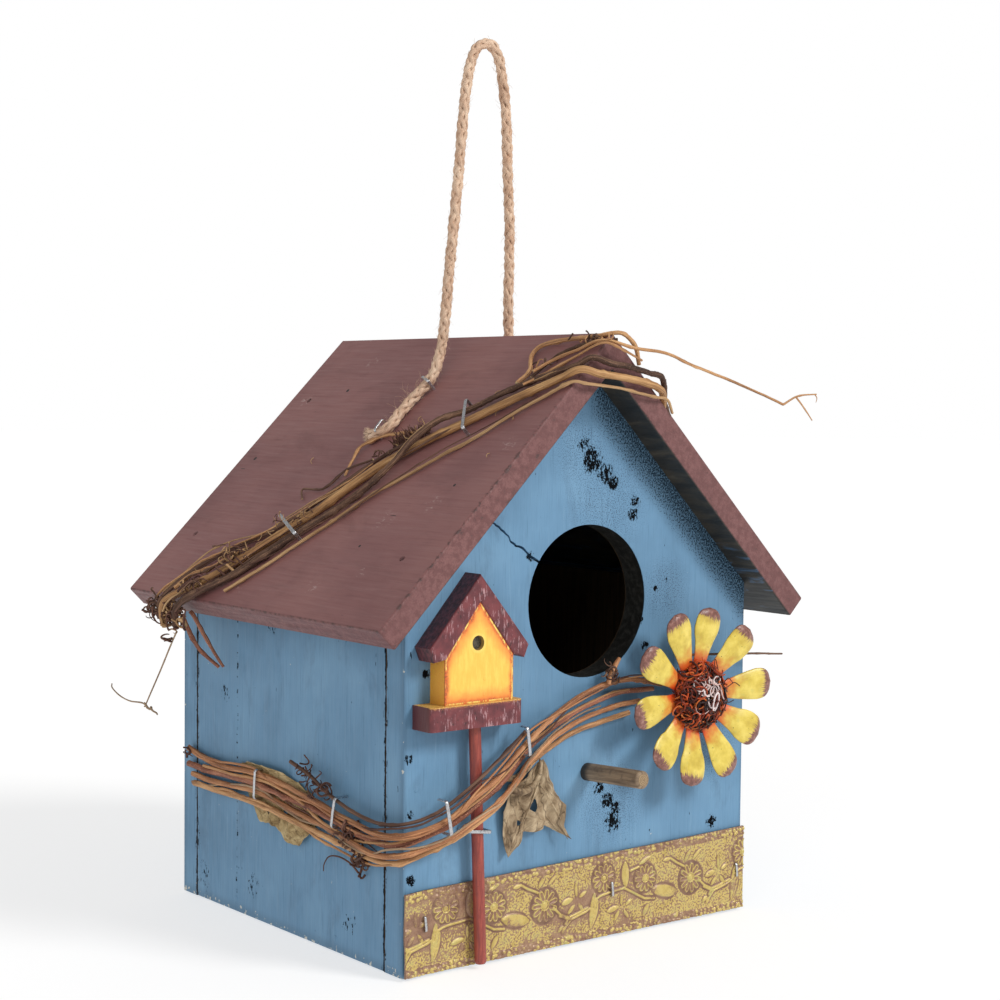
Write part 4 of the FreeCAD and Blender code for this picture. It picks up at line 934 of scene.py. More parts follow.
def rope():
    q = resample(ROPE_LINE * 1000.0, 0.34)
    t, n, b = frames_of(q)
    step = length_of(q) / (len(q) - 1)
    s = np.arange(len(q)) * step
    B = Build()
    crevice_shade = []
    pitch, centre, over = 23.0, 1.14, 0.30
    w = 2 * np.pi / pitch
    sides = 12
    th = np.linspace(0, 2 * np.pi, sides, endpoint=False)
    drift = 0.85 * fbm(np.stack([s * 0.03, s * 0, s * 0], 1), 3, 3)
    for direction in (1, -1):
        for k in range(4):
            ang = direction * (w * s + drift) + k * math.pi / 2
            lift = direction * over * np.cos(4 * (w * s + drift))
            wob = 0.24 * fbm(np.stack([s * 0.12, s * 0 + 7 * k, s * 0 + 3 * direction], 1), 2, 11)
            rr = centre + lift + wob
            radial = np.cos(ang)[:, None] * n + np.sin(ang)[:, None] * b
            path = q + radial * rr[:, None]
            tt = np.gradient(path, axis=0)
            tt /= np.linalg.norm(tt, axis=1)[:, None]
            nn = radial - tt * (radial * tt).sum(1)[:, None]
            nn /= np.linalg.norm(nn, axis=1)[:, None]
            bb = np.cross(tt, nn)
            size = 1.05 + 0.20 * fbm(np.stack([s * 0.10, s * 0 + k, s * 0 + direction * 5], 1), 2, 21)
            ridge = 1 + 0.085 * np.cos(6 * th[None] + (s * 1.5)[:, None] + k) \
                + 0.06 * fbm(np.stack([np.broadcast_to((s * 0.45)[:, None], (len(s), sides)), np.broadcast_to(np.cos(th) * 2.2 + k * 3, (len(s), sides)),
                                       np.broadcast_to(np.sin(th) * 2.2, (len(s), sides))], -1), 3, 31)
            v = B.tube(path, ridge * size[:, None] * 0.66, sides, 0, None, 0.1 * k + (0.5 if direction > 0 else 0),
                       squash=(0.80, 1.22), frames=(tt, nn, bb))
            # how far each point stands out from the crevices, read by the jute look as painted shade
            dist = np.linalg.norm(v - q[:, None, :], axis=2)
            d = np.clip((dist - 0.95) / 1.0, 0, 1).ravel()
            crevice_shade.append(d)
            crevice_shade.append(np.full(2 * (2 * sides + 1), 0.8))
    core = B.tube(q, 1.22, 8, 0, None, 0.3)
    crevice_shade.append(np.zeros(core.shape[0] * core.shape[1]))
    crevice_shade.append(np.full(2 * (2 * 8 + 1), 0.5))
    o = B.make("rope", [MAT["jute"]], "house", ["hanging_rope"], {"crevice_shade": np.concatenate(crevice_shade)})
    # loose fibres standing off the rope, and its cut, frayed end
    rng = np.random.default_rng(12)
    F = Build()
    total = s[-1]

    def hair(start, direction, length, r, curl, rnd):
        m_ = 9
        u = np.linspace(0, 1, m_)
        side = np.cross(direction, rng.normal(size=3))
        side /= max(np.linalg.norm(side), 1e-6)
        up = np.cross(direction, side)
        p = start + direction * (u * length)[:, None] + side * (np.sin(u * curl) * 0.28 * length)[:, None] \
            + up * ((1 - np.cos(u * curl * 0.8)) * 0.2 * length)[:, None]
        F.tube(p, r * (1.1 - 0.7 * u), 4, 0, None, rnd, cap=False)

    for _ in range(900):
        i = int(rng.integers(2, len(q) - 2))
        a = rng.random() * 2 * np.pi
        out = np.cos(a) * n[i] + np.sin(a) * b[i]
        tang = t[i] * (1 if rng.random() < 0.5 else -1)
        d = tang * 1.0 + out * rng.uniform(0.15, 0.75)
        d /= np.linalg.norm(d)
        hair(q[i] + out * 1.75, d, rng.uniform(0.9, 2.8), rng.uniform(0.03, 0.05), rng.uniform(0.5, 2.6), rng.random())
    for centre_s, count, reach in ((24.0, 16, 5.5), (34.0, 12, 5.0), (12.0, 14, 5.0), (4.0, 8, 4.0), (total - 26, 10, 5.0), (total - 8, 10, 4.5)):
        for _ in range(count):
            i = int(np.clip((centre_s + rng.normal() * 4.0) / step, 1, len(q) - 2))
            a = rng.random() * 2 * np.pi
            out = np.cos(a) * n[i] + np.sin(a) * b[i]
            if out[2] < -0.2:
                out = -out
            d = out * rng.uniform(0.5, 1.0) + t[i] * rng.normal() * 0.8
            d /= np.linalg.norm(d)
            hair(q[i] + out * 1.5, d, rng.uniform(2.0, reach), rng.uniform(0.035, 0.055), rng.uniform(1.5, 4.5), rng.random())
    for end, sgn in ((0, -1), (-1, 1)):
        base, ax, e1, e2 = q[end], t[end] * sgn, n[end], b[end]
        for _ in range(420):
            a, rad = rng.random() * 2 * np.pi, 1.75 * math.sqrt(rng.random())
            out = np.cos(a) * e1 + np.sin(a) * e2
            d = ax + out * (0.16 * rad + 0.30 * rng.random())
            d /= np.linalg.norm(d)
            hair(base - ax * 0.9 + out * rad, d, rng.uniform(1.5, 2.7), rng.uniform(0.07, 0.12), rng.uniform(0.3, 2.4), rng.random())
    f = F.make("rope_fibres", [MAT["jute"]], "house", extra={"crevice_shade": np.full(F.n, 0.9)})
    return o, f


rope()

# ---------------------------------------------------------------- vine stems
WALL_VINE = {
    1: (1.0, [(-78.4, -9.0, 60.5), (-78.4, -20.9, 57.4), (-78.4, -31.1, 54.0), (-78.6, -40.2, 51.2),
              (-79.0, -49.5, 49.6), (-79.4, -60.0, 49.0), (-79.6, -68.5, 49.6), (-77.6, -74.6, 50.6),
              (-71.0, -77.0, 52.4), (-64.1, -78.2, 55.2), (-57.0, -79.8, 59.8), (-48.8, -79.0, 64.6),
              (-39.4, -77.0, 69.6), (-30.5, -75.6, 75.4)]),
    2: (1.15, [(-76.6, 63.5, 54.2), (-76.6, 51.0, 52.2), (-76.9, 38.0, 51.3), (-77.1, 20.7, 52.3),
               (-77.2, 7.5, 52.0), (-77.4, -8.3, 50.9), (-77.6, -21.6, 49.4), (-78.2, -35.2, 47.6),
               (-79.0, -49.0, 46.4), (-80.0, -61.5, 45.8), (-80.4, -70.0, 46.4), (-77.8, -76.6, 47.4),
               (-71.4, -79.2, 49.2), (-63.8, -80.0, 52.0), (-56.9, -80.6, 56.2), (-47.9, -79.6, 60.6),
               (-38.5, -77.2, 65.6), (-28.5, -75.6, 72.6), (-14.0, -73.8, 80.6), (-3.2, -73.0, 85.0),
               (9.2, -73.0, 87.8), (20.0, -73.4, 88.0), (31.0, -74.2, 85.6)]),
    3: (1.2, [(-76.6, 63.5, 48.6), (-76.6, 50.0, 48.0), (-76.9, 36.5, 48.5), (-77.0, 19.6, 48.9),
              (-77.0, 7.0, 48.4), (-77.0, -4.4, 47.4), (-77.0, -18.0, 46.4), (-77.0, -31.2, 44.8),
              (-77.2, -45.0, 43.1), (-77.6, -58.0, 42.2), (-78.0, -67.5, 42.6), (-76.4, -72.8, 43.8),
              (-70.7, -75.0, 45.6), (-62.5, -77.2, 48.8), (-55.1, -78.2, 52.8), (-46.4, -77.4, 57.1),
              (-37.3, -75.2, 62.0), (-25.5, -72.9, 70.2), (-9.1, -71.7, 77.8), (2.3, -71.6, 81.6),
              (14.5, -71.6, 84.0), (28.9, -72.0, 84.0)]),
    4: (1.1, [(-76.5, 60.6, 45.2), (-76.5, 47.8, 44.9), (-76.8, 32.7, 45.4), (-76.9, 19.1, 45.9),
              (-76.9, 6.0, 45.4), (-76.9, -6.0, 43.8), (-76.9, -23.1, 42.2), (-77.8, -38.0, 41.0),
              (-79.6, -50.2, 39.9), (-80.6, -61.0, 39.2), (-80.4, -69.0, 39.8), (-77.8, -75.2, 41.0),
              (-71.4, -77.6, 42.8), (-63.9, -80.2, 45.6), (-56.7, -81.0, 49.2), (-46.1, -80.1, 53.4),
              (-37.2, -77.9, 58.4), (-27.7, -75.6, 66.0), (-14.7, -73.2, 72.4), (-1.8, -71.7, 76.4),
              (10.7, -71.5, 79.2), (23.0, -71.5, 80.2)]),
    5: (1.15, [(-76.6, 59.5, 42.0), (-76.6, 45.6, 41.7), (-76.8, 31.6, 42.0), (-76.9, 18.0, 42.1),
               (-76.9, 5.9, 41.4), (-76.9, -8.0, 40.1), (-76.9, -23.1, 38.8), (-76.9, -38.0, 37.5),
               (-77.2, -50.0, 36.6), (-77.6, -61.0, 36.2), (-77.6, -68.0, 37.0), (-75.8, -72.0, 38.2),
               (-70.2, -73.9, 40.0), (-62.1, -76.9, 43.4), (-54.8, -78.3, 47.0), (-43.0, -76.8, 52.4),
               (-34.4, -74.2, 57.4), (-23.2, -72.2, 65.2), (-8.0, -71.5, 71.6), (5.5, -71.5, 74.4),
               (18.3, -71.6, 76.6)]),
}
ROOF_VINE = {
    1: (1.4, [(-96.8, 45.2, 102.6), (-97.6, 44.0, 110.2), (-94.0, 36.9, slope(94.0, 2.8)),
              (-86.6, 26.6, slope(86.6, 1.8)), (-78.6, 16.4, slope(78.6, 1.7)), (-71.0, 7.4, slope(71.0, 1.7)),
              (-63.4, -1.6, slope(63.4, 1.7)), (-54.4, -10.0, slope(54.4, 1.7)),
              (-46.6, -18.4, slope(46.6, 1.7)), (-39.6, -29.4, slope(39.6, 1.7)),
              (-32.6, -43.8, slope(32.6, 1.7)), (-24.4, -62.0, slope(24.4, 1.9)),
              (-18.2, -76.6, slope(18.2, 2.2)), (-15.0, -83.0, slope(15.0, 2.0)),
              (-8.6, -85.4, 192.0), (2.5, -85.7, 190.8), (12.0, -85.4, 189.0), (18.4, -84.0, 187.6),
              (23.6, -80.6, slope(23.6, 2.6)), (28.6, -75.4, slope(28.6, 2.0)), (33.0, -70.0, slope(33.0, 1.8))]),
    2: (1.3, [(-97.0, 36.6, 103.0), (-97.4, 34.8, 109.9), (-93.4, 27.2, slope(93.4, 2.6)),
              (-86.8, 18.2, slope(86.8, 1.6)), (-79.3, 8.6, slope(79.3, 1.6)), (-71.6, 0.2, slope(71.6, 1.6)),
              (-64.6, -8.4, slope(64.6, 1.6)), (-57.4, -16.6, slope(57.4, 1.7)),
              (-49.6, -24.2, slope(49.6, 2.9)), (-43.0, -29.8, slope(43.0, 5.1)),
              (-36.2, -35.2, slope(36.2, 4.9)), (-29.0, -41.8, slope(29.0, 2.3)),
              (-21.4, -55.0, slope(21.4, 1.7)), (-15.8, -71.0, slope(15.8, 1.8)),
              (-13.4, -79.2, slope(13.4, 2.0)), (-10.6, -83.4, slope(10.6, 1.7)), (-4.0, -85.0, 195.4),
              (4.5, -85.2, 194.4), (14.0, -84.8, 192.4), (20.4, -83.4, 191.2),
              (25.6, -79.4, slope(25.6, 5.4)), (30.4, -74.0, slope(30.4, 5.2)), (35.8, -71.2, slope(35.8, 5.0))]),
    3: (0.65, [(-90.0, 15.4, slope(90.0, 1.0)), (-82.0, 4.6, slope(82.0, 1.0)), (-73.6, -4.6, slope(73.6, 1.0)),
               (-64.6, -14.8, slope(64.6, 1.0)), (-57.0, -23.0, slope(57.0, 1.1)),
               (-48.6, -36.0, slope(48.6, 1.0)), (-41.6, -46.0, slope(41.6, 1.0)),
               (-34.6, -57.0, slope(34.6, 1.0)), (-28.0, -66.0, slope(28.0, 1.1)),
               (-21.0, -76.6, slope(21.0, 1.2)), (-18.0, -82.2, slope(18.0, 1.2)), (-12.4, -84.2, 188.6),
               (-1.0, -84.4, 187.6), (9.0, -84.2, 185.8), (17.4, -83.6, 184.4), (23.6, -82.9, 183.6),
               (28.4, -80.4, slope(28.4, 1.5))]),
    4: (0.9, [(-95.6, 51.0, 104.4), (-96.2, 50.0, 110.2), (-92.0, 47.4, slope(92.0, 1.7)),
              (-84.0, 42.6, slope(84.0, 1.2)), (-77.0, 31.4, slope(77.0, 1.2)), (-71.2, 17.8, slope(71.2, 1.2)),
              (-65.6, 9.4, slope(65.6, 1.2)), (-58.6, 1.8, slope(58.6, 1.2)), (-51.4, -4.6, slope(51.4, 1.2)),
              (-44.6, -12.0, slope(44.6, 1.2)), (-38.4, -22.0, slope(38.4, 1.2))]),
    5: (0.75, [(-94.6, 41.6, slope(94.6, 3.6)), (-90.5, 36.8, slope(90.5, 4.2)),
               (-86.0, 33.0, slope(86.0, 2.4)), (-81.4, 30.0, slope(81.4, 1.4)),
               (-76.6, 23.2, slope(76.6, 1.0))]),
}


def stem(B, pts, r, seed, mat=0, cut=1, ridge=0.07, rough=0.04, knots=6, taper=(1.0, 1.0), step=0.45, sides=16, wobble=0.12, knot_amp=0.30):
    """A twig along the points: uneven girth, lengthwise ridges, and knots where buds and side twigs were."""
    rng = np.random.default_rng(seed)
    q = smooth_path(pts, step)
    n = len(q)
    s = np.arange(n) * step
    zero = np.zeros(n)
    fade = sstep(s, 0, 6) * sstep(s[-1] - s, 0, 6)
    for axis in range(3):
        q[:, axis] += wobble * fade * fbm(np.stack([s * 0.09, zero + axis * 5, zero], 1), 3, seed)
    th = np.linspace(0, 2 * np.pi, sides, endpoint=False)
    tw = th[None] + (s * 0.02)[:, None]
    P = np.stack([np.broadcast_to((s * 0.07)[:, None], (n, sides)), np.cos(tw) * 1.5, np.sin(tw) * 1.5], -1)
    Pf = np.stack([np.broadcast_to((s * 0.8)[:, None], (n, sides)), np.cos(tw) * 2.6, np.sin(tw) * 2.6], -1)
    rad = r * np.linspace(taper[0], taper[1], n)[:, None] * (1 + 0.06 * fbm(np.stack([s * 0.05, zero, zero], 1), 3, seed + 3))[:, None]
    rad = rad * (1 + ridge * fbm(P, 3, seed + 5) * 1.6 + rough * fbm(Pf, 3, seed + 9) * 1.6)
    for _ in range(knots):
        s0 = rng.uniform(6, max(7, s[-1] - 6))
        a0, wid, amp = rng.random() * 6.28, rng.uniform(0.8, 1.7), rng.uniform(0.5, 1.0) * knot_amp
        g = np.exp(-((s - s0) / wid) ** 2)[:, None]
        rad = rad + r * amp * g * (0.55 + 0.45 * np.cos(th[None] - a0))
    B.tube(q, rad, sides, mat, cut, rng.random())
    return q


def curl(B, pts, r, seed, mat=0, turns=0.0, amp=0.0, step=0.35, sides=7, tip=0.35, rough=0.10):
    """A thin tendril or rootlet that may coil about its line and ends in a fine tip."""
    rng = np.random.default_rng(seed)
    q = smooth_path(pts, step)
    n = len(q)
    t, nn, bb = frames_of(q)
    u = np.linspace(0, 1, n)
    if turns:
        a = 2 * np.pi * turns * u + rng.random() * 6
        k = amp * np.sin(np.pi * np.clip(u, 0.02, 1)) ** 0.5
        q = q + nn * (np.cos(a) * k)[:, None] + bb * (np.sin(a) * k)[:, None]
    rad = r * (1 - (1 - tip) * u ** 1.5) * (1 + rough * fbm(np.stack([u * n * 0.2, u * 0, u * 0], 1), 3, seed))
    B.tube(q, rad, sides, mat, mat, rng.random())
    return q


def wire_staple(B, a, b, inward, leg, wide=1.25, thick=0.55, round_=0.8):
    """Flat staple wire: crown from a to b with bent corners, legs down into the wood."""
    a, b, n = np.array(a, float), np.array(b, float), np.array(inward, float)
    n /= np.linalg.norm(n)
    c = (b - a) / np.linalg.norm(b - a)
    pts = [a + n * leg, a + n * leg * 0.6, a + n * round_]
    for k in np.linspace(0, np.pi / 2, 6)[1:-1]:
        pts.append(a + n * round_ + c * round_ - n * round_ * math.sin(k) - c * round_ * math.cos(k))
    pts += [a + c * round_, a * 0.5 + b * 0.5 - n * 0.06, b - c * round_]
    for k in np.linspace(0, np.pi / 2, 6)[1:-1]:
        pts.append(b + n * round_ - c * round_ + c * round_ * math.sin(k) - n * round_ * math.cos(k))
    pts += [b + n * round_, b + n * leg * 0.6, b + n * leg]
    q = resample(np.array(pts), 0.22)
    plane = np.cross(c, n)
    plane /= np.linalg.norm(plane)
    t = np.gradient(q, axis=0)
    t /= np.linalg.norm(t, axis=1)[:, None]
    bb = np.broadcast_to(plane, q.shape)
    nn = np.cross(bb, t)
    th = np.linspace(0, 2 * np.pi, 12, endpoint=False)
    box = 1.0 / np.maximum(np.abs(np.cos(th)) ** 4 + np.abs(np.sin(th)) ** 4, 1e-6) ** 0.25
    B.tube(q, np.broadcast_to(box * 0.5, (len(q), 12)), 12, 0, 0, 0.5, squash=(thick, wide), frames=(t, nn, bb))


def hooks(B, centre, spread, count, seed, mats, r=(0.24, 0.5), size=(0.8, 2.2), turns=(0.35, 1.1), low=None, high=None):
    """A tangle of small curled rootlets about a point; low and high bound it in mm."""
    rng = np.random.default_rng(seed)
    for i in range(count):
        c = np.array(centre, float) + rng.normal(size=3) * spread
        e1 = rng.normal(size=3)
        e1 /= np.linalg.norm(e1)
        e2 = np.cross(e1, rng.normal(size=3))
        e2 /= np.linalg.norm(e2)
        e3 = np.cross(e1, e2)
        k = rng.uniform(*size)
        tn = rng.uniform(*turns)
        n = int(12 * tn) + 7
        u = np.linspace(0, 1, n)
        a = rng.random() * 6.28 + u * 2 * np.pi * tn
        grow = k * (1 - 0.45 * u)
        p = c + e1 * (np.cos(a) * grow)[:, None] + e2 * (np.sin(a) * grow)[:, None] + e3 * (u * rng.uniform(-1.6, 1.6) * k)[:, None]
        tail = rng.normal(size=3)
        p = p + (tail / np.linalg.norm(tail)) * (np.clip(0.35 - u, 0, 1) * rng.uniform(0, 5.0) * k)[:, None]
        if low is not None:
            p = np.maximum(p, low)
        if high is not None:
            p = np.minimum(p, high)
        curl(B, p, rng.uniform(*r), seed * 7 + i, mats[i % len(mats)], 0, 0, 0.35, 6, 0.4)


VB = {}
looks = {1: ("brown", 0.07), 2: ("orange", 0.06), 3: ("red", 0.06), 4: ("orange", 0.08), 5: ("tan", 0.06)}
for k, (r, pts) in WALL_VINE.items():
    B = Build()
    stem(B, pts, r * (0.62 if k == 1 else 0.86), 100 + k, 0, 1, looks[k][1] * 1.4, 0.06, knots=11, taper=(1.08, 0.90), wobble=0.28, knot_amp=0.42)
    B.make("wall_vine_%d" % k, [MAT[looks[k][0]], MAT["cut"]], "house", ["wall_vine_stem_%d" % k])
looks = {1: ("honey", 0.05, 0.03, 5), 2: ("dark", 0.13, 0.10, 14), 3: ("straw", 0.08, 0.06, 12), 4: ("brown", 0.08, 0.05, 9), 5: ("tan", 0.08, 0.06, 4)}
for k, (r, pts) in ROOF_VINE.items():
    B = Build()
    key, ridge, rough, kn = looks[k]
    stem(B, pts, r * (1.0 if k == 1 else 0.85), 200 + k, 0, 1, ridge * 1.3, rough * 1.5, knots=kn + 4, taper=(1.06, 0.86), wobble=0.26, knot_amp=0.55 if k in (3, 4) else 0.4)
    B.make("roof_vine_%d" % k, [MAT[key], MAT["cut"]], "house", ["roof_vine_stem_%d" % k])

# thin companions laid in among the thick stems
def companion(B, pts, r, seed, mat, amp, lo, hi, push, sides=8):
    """A slender strand that follows part of a stem's line and strays either side of it."""
    rng = np.random.default_rng(seed)
    q = smooth_path(pts, 1.6)
    n0 = len(q)
    q = q[int(lo * n0):max(int(hi * n0), int(lo * n0) + 8)]
    n = len(q)
    s = np.arange(n) * 1.6
    t, _, _ = frames_of(q)
    up = np.array(push, float) if np.ndim(push) == 1 else np.array(push(q), float)
    up = np.broadcast_to(up, q.shape)
    side = np.cross(t, up)
    side /= np.maximum(np.linalg.norm(side, axis=1), 1e-6)[:, None]
    z0 = np.zeros(n)
    a = amp * 2.0 * fbm(np.stack([s * 0.022, z0 + seed, z0], 1), 3, seed)
    b = 0.55 + 0.6 * np.abs(fbm(np.stack([s * 0.03, z0 + seed * 2.0, z0], 1), 3, seed + 1))
    q = q + side * a[:, None] + up * (b * 0.9)[:, None]
    stem(B, q[::3], r, seed, mat, mat, 0.10, 0.07, knots=8, taper=(1.0, 0.55), step=0.6, sides=sides, wobble=0.22, knot_amp=0.6)


def off_wall(q):
    """Away from the wall a point stands in front of: left wall first, then round the corner to the front."""
    f = np.clip((q[:, 0] + 79.0) / 5.0, 0, 1)
    v = np.stack([-(1 - f), -f, 0 * f], 1)
    return v / np.linalg.norm(v, axis=1)[:, None]


B = Build()
for i, (k, r, mat, amp, lo, hi) in enumerate([(2, 0.50, 0, 2.2, 0.0, 1.0), (3, 0.60, 1, 2.0, 0.05, 0.96), (4, 0.46, 2, 2.2, 0.0, 0.93),
                                              (5, 0.52, 1, 1.8, 0.02, 0.90), (2, 0.38, 3, 2.6, 0.45, 1.0), (3, 0.30, 3, 3.4, 0.2, 0.55)]):
    companion(B, WALL_VINE[k][1], r, 500 + i, mat, amp, lo, hi, off_wall)
B.make("wall_vine_strands", [MAT["orange"], MAT["tan"], MAT["pale"], MAT["root"]], "house")
B = Build()
slope_up = np.array([-1, 0, 1]) / R2
for i, (k, r, mat, amp, lo, hi) in enumerate([(1, 0.50, 0, 2.4, 0.02, 0.55), (2, 0.42, 1, 2.6, 0.03, 0.50), (1, 0.36, 2, 3.4, 0.03, 0.42), (4, 0.46, 0, 2.4, 0.06, 0.9),
                                              (4, 0.30, 2, 3.2, 0.08, 0.8), (2, 0.30, 3, 2.8, 0.04, 0.35), (1, 0.27, 3, 3.6, 0.05, 0.30), (5, 0.34, 1, 2.4, 0.1, 1.0),
                                              (4, 0.26, 3, 3.6, 0.1, 0.6), (1, 0.38, 1, 1.8, 0.45, 0.72), (2, 0.34, 2, 1.6, 0.42, 0.74), (3, 0.26, 1, 1.6, 0.25, 0.7)]):
    companion(B, ROOF_VINE[k][1], r, 560 + i, mat, amp, lo, hi, slope_up)
B.make("roof_vine_strands", [MAT["tan"], MAT["brown"], MAT["straw"], MAT["root"]], "house")

# ------------------------------------------------------- twigs and tendrils
B = Build()
stem(B, [(-20.6, -57.0, slope(20.6, 2.6)), (-14.7, -56.1, slope(14.7, 1.4)), (-9.0, -50.3, slope(9.0, 1.4)), (-5.7, -52.6, slope(5.7, 1.5)),
         (-4.3, -63.2, slope(4.3, 1.6)), (-3.4, -76.0, slope(3.4, 1.6)), (1.6, -82.6, 205.6), (5.6, -83.6, 203.6), (8.6, -83.4, 200.4), (10.6, -82.9, 195.2)],
     0.80, 301, 0, 1, 0.10, 0.08, 9, (1.0, 0.85), 0.35, 14, 0.2)
stem(B, [(-17.0, -60.0, slope(17.0, 1.6)), (-11.0, -62.0, slope(11.0, 1.0)), (-6.6, -68.6, slope(6.6, 1.0)), (-4.6, -78.0, slope(4.6, 1.0)), (0.4, -83.6, 203.4)],
     0.60, 302, 2, 1, 0.14, 0.10, 10, (1.0, 0.8), 0.35, 12, 0.25, 0.7)
stem(B, [(-22.0, -62.0, slope(22.0, 3.4)), (-15.4, -66.0, slope(15.4, 1.4)), (-9.4, -74.0, slope(9.4, 1.2)), (-6.0, -84.0, slope(6.0, 1.8)), (2.0, -86.6, 199.2), (9.4, -85.6, 196.6)],
     0.52, 303, 0, 1, 0.12, 0.08, 7, (1.0, 0.7), 0.35, 12, 0.25, 0.6)
hooks(B, (-4.0, -76.0, slope(4.0, 1.4)), (1.4, 5.0, 0.5), 16, 41, (2, 2, 0), (0.26, 0.44), (0.7, 1.7), high=(99, 99, 206.4))
hooks(B, (-12.0, -60.0, slope(12.0, 1.4)), (3.4, 2.0, 0.6), 8, 42, (2, 0), (0.24, 0.40), (0.7, 1.8), high=(99, 99, 200.4))
B.make("ridge_loop_twig", [MAT["tan"], MAT["cut"], MAT["dark"]], "house", ["ridge_twig"])

B = Build()
stem(B, [(-19.0, -63.4, slope(19.0, 4.4)), (-12.4, -66.4, slope(12.4, 2.4)), (-7.4, -73.6, slope(7.4, 1.4)),
         (-5.0, -82.6, slope(5.0, 1.8)), (4.0, -87.8, 200.6), (16.0, -89.4, 199.2), (30.0, -87.8, 195.6), (53.0, -85.6, 189.8),
         (78.6, -84.0, 182.4)], 0.55, 311, 0, 1, 0.07, 0.05, 7, (1.05, 0.85), 0.4, 10, 0.2)
stem(B, [(78.6, -84.0, 182.4), (86.0, -84.0, 185.4), (95.4, -84.2, 186.2)], 0.40, 312, 0, 1, 0.07, 0.05, 2, (1.0, 0.6), 0.3, 8, 0.1)
stem(B, [(85.2, -84.0, 185.0), (89.6, -84.0, 181.0), (93.4, -84.2, 176.8)], 0.33, 313, 0, 1, 0.07, 0.05, 1, (1.0, 0.6), 0.3, 8, 0.1)
curl(B, [(94.6, -84.2, 186.1), (95.6, -84.3, 184.8), (95.2, -84.2, 183.2)], 0.22, 314)
B.make("long_bare_twig", [MAT["tan"], MAT["cut"]], "house", ["long_twig"])

B = Build()
stem(B, [(-50.6, 0.6, slope(50.6, 1.0)), (-45.5, 3.3, slope(45.5, 1.2)), (-41.2, 4.0, slope(41.2, 1.6)), (-37.7, -5.0, slope(37.7, 1.6)), (-37.0, -16.0, slope(37.0, 2.0)), (-36.8, -28.0, slope(36.8, 2.6))], 0.55, 321, 1, 2, 0.08, 0.06, 7, (0.9, 1.0), 0.3, 10, 0.2, 0.8)
stem(B, [(-59.2, 14.7, slope(59.2, 0.9)), (-56.1, 18.9, slope(56.1, 1.0)), (-55.3, 6.7, slope(55.3, 1.0)), (-49.2, 2.1, slope(49.2, 1.2)), (-45.1, -8.5, slope(45.1, 1.2))], 0.42, 322, 0, 2, 0.08, 0.06, 5, (0.8, 1.0), 0.3, 8, 0.2, 0.8)
B.make("side_twigs", [MAT["brown"], MAT["tan"], MAT["cut"]], "house", ["roof_side_twigs"])

B = Build()
stem(B, [(-91.6, 42.0, 106.4), (-91.0, 41.4, 104.4), (-85.0, 41.8, 94.1), (-79.0, 37.7, 87.2)], 0.85, 331, 0, 1, 0.1, 0.08, 4, (1.0, 0.7), 0.3, 12)
stem(B, [(-90.4, 38.2, 107.8), (-89.0, 37.1, 105.4), (-84.0, 37.2, 96.7), (-78.8, 35.0, 87.6)], 0.75, 332, 0, 1, 0.1, 0.08, 4, (1.0, 0.7), 0.3, 12)
B.make("eave_side_twigs", [MAT["red"], MAT["cut"]], "house", ["eave_twigs"])

B = Build()
curl(B, [(-95.0, 39.6, 100.6), (-95.1, 50.8, 86.4), (-95.0, 61.4, 72.9), (-95.2, 62.9, 71.3)], 0.30, 341, 0, 1.0, 0.12, 0.35, 8, 0.9)
curl(B, [(-95.2, 60.6, 71.0), (-95.0, 64.0, 72.2), (-95.2, 73.6, 71.9), (-95.0, 82.0, 73.0), (-95.0, 88.0, 75.0), (-95.0, 88.4, 76.6)], 0.30, 342, 0, 1.0, 0.2, 0.35, 8, 0.8)
curl(B, [(-95.6, 62.4, 72.6), (-94.6, 60.0, 71.0), (-95.3, 57.2, 71.4), (-95.0, 53.5, 69.6)], 0.46, 343, 0, 2.0, 0.35, 0.3, 8, 0.6)
B.make("hanging_tendril_vine", [MAT["pale"]], "house", ["hanging_tendril"])

B = Build()
curl(B, [(-77.4, -48.6, 30.2), (-77.0, -43.3, 32.2), (-76.6, -36.1, 32.9), (-76.4, -30.0, 31.8), (-76.4, -27.0, 28.8), (-76.2, -26.3, 26.2)],
     0.34, 351, 3, 0, 0, 0.3, 9, 0.5)
hooks(B, (-78.0, -43.6, 40.8), (0.6, 2.0, 2.0), 22, 53, (3, 3, 0), (0.30, 0.56), (0.9, 2.4), low=(-80.4, -99, 0), high=(-75.7, 99, 99))
hooks(B, (-77.4, -50.0, 34.6), (0.6, 1.8, 2.4), 26, 54, (3, 0, 3), (0.28, 0.52), (0.9, 2.2), low=(-80.4, -99, 0), high=(-75.7, 99, 99))
hooks(B, (-78.6, -18.0, 58.4), (0.7, 2.6, 1.4), 12, 55, (3, 3), (0.22, 0.40), (0.8, 1.9), low=(-80.8, -99, 0), high=(-75.7, 99, 99))
hooks(B, (-79.0, -29.0, 53.6), (0.7, 3.0, 1.6), 16, 56, (3, 3, 0), (0.24, 0.46), (0.8, 2.2), low=(-81.2, -99, 0), high=(-75.7, 99, 99))
hooks(B, (-77.4, 61.0, 53.6), (0.5, 1.6, 1.0), 8, 57, (3, 3), (0.22, 0.40), (0.6, 1.4), low=(-80.0, -99, 0), high=(-75.7, 69, 99))
stem(B, [(6.0, -74.6, 87.9), (6.6, -74.8, 90.4), (8.6, -74.4, 93.2), (11.5, -74.0, 96.1)], 0.9, 352, 1, 2, 0.1, 0.07, 2, (1.0, 0.75), 0.3, 12, 0.1)
hooks(B, (6.8, -74.6, 90.6), (1.4, 0.5, 1.8), 14, 59, (0, 0, 3), (0.24, 0.42), (0.8, 2.0), high=(99, -71.0, 99))
stem(B, [(46.0, -73.2, 94.6), (60.0, -74.2, 94.0), (75.1, -75.0, 93.1), (89.5, -75.2, 92.0)], 0.42, 353, 0, 2, 0.07, 0.06, 4, (1.1, 0.8), 0.3, 9, 0.1)
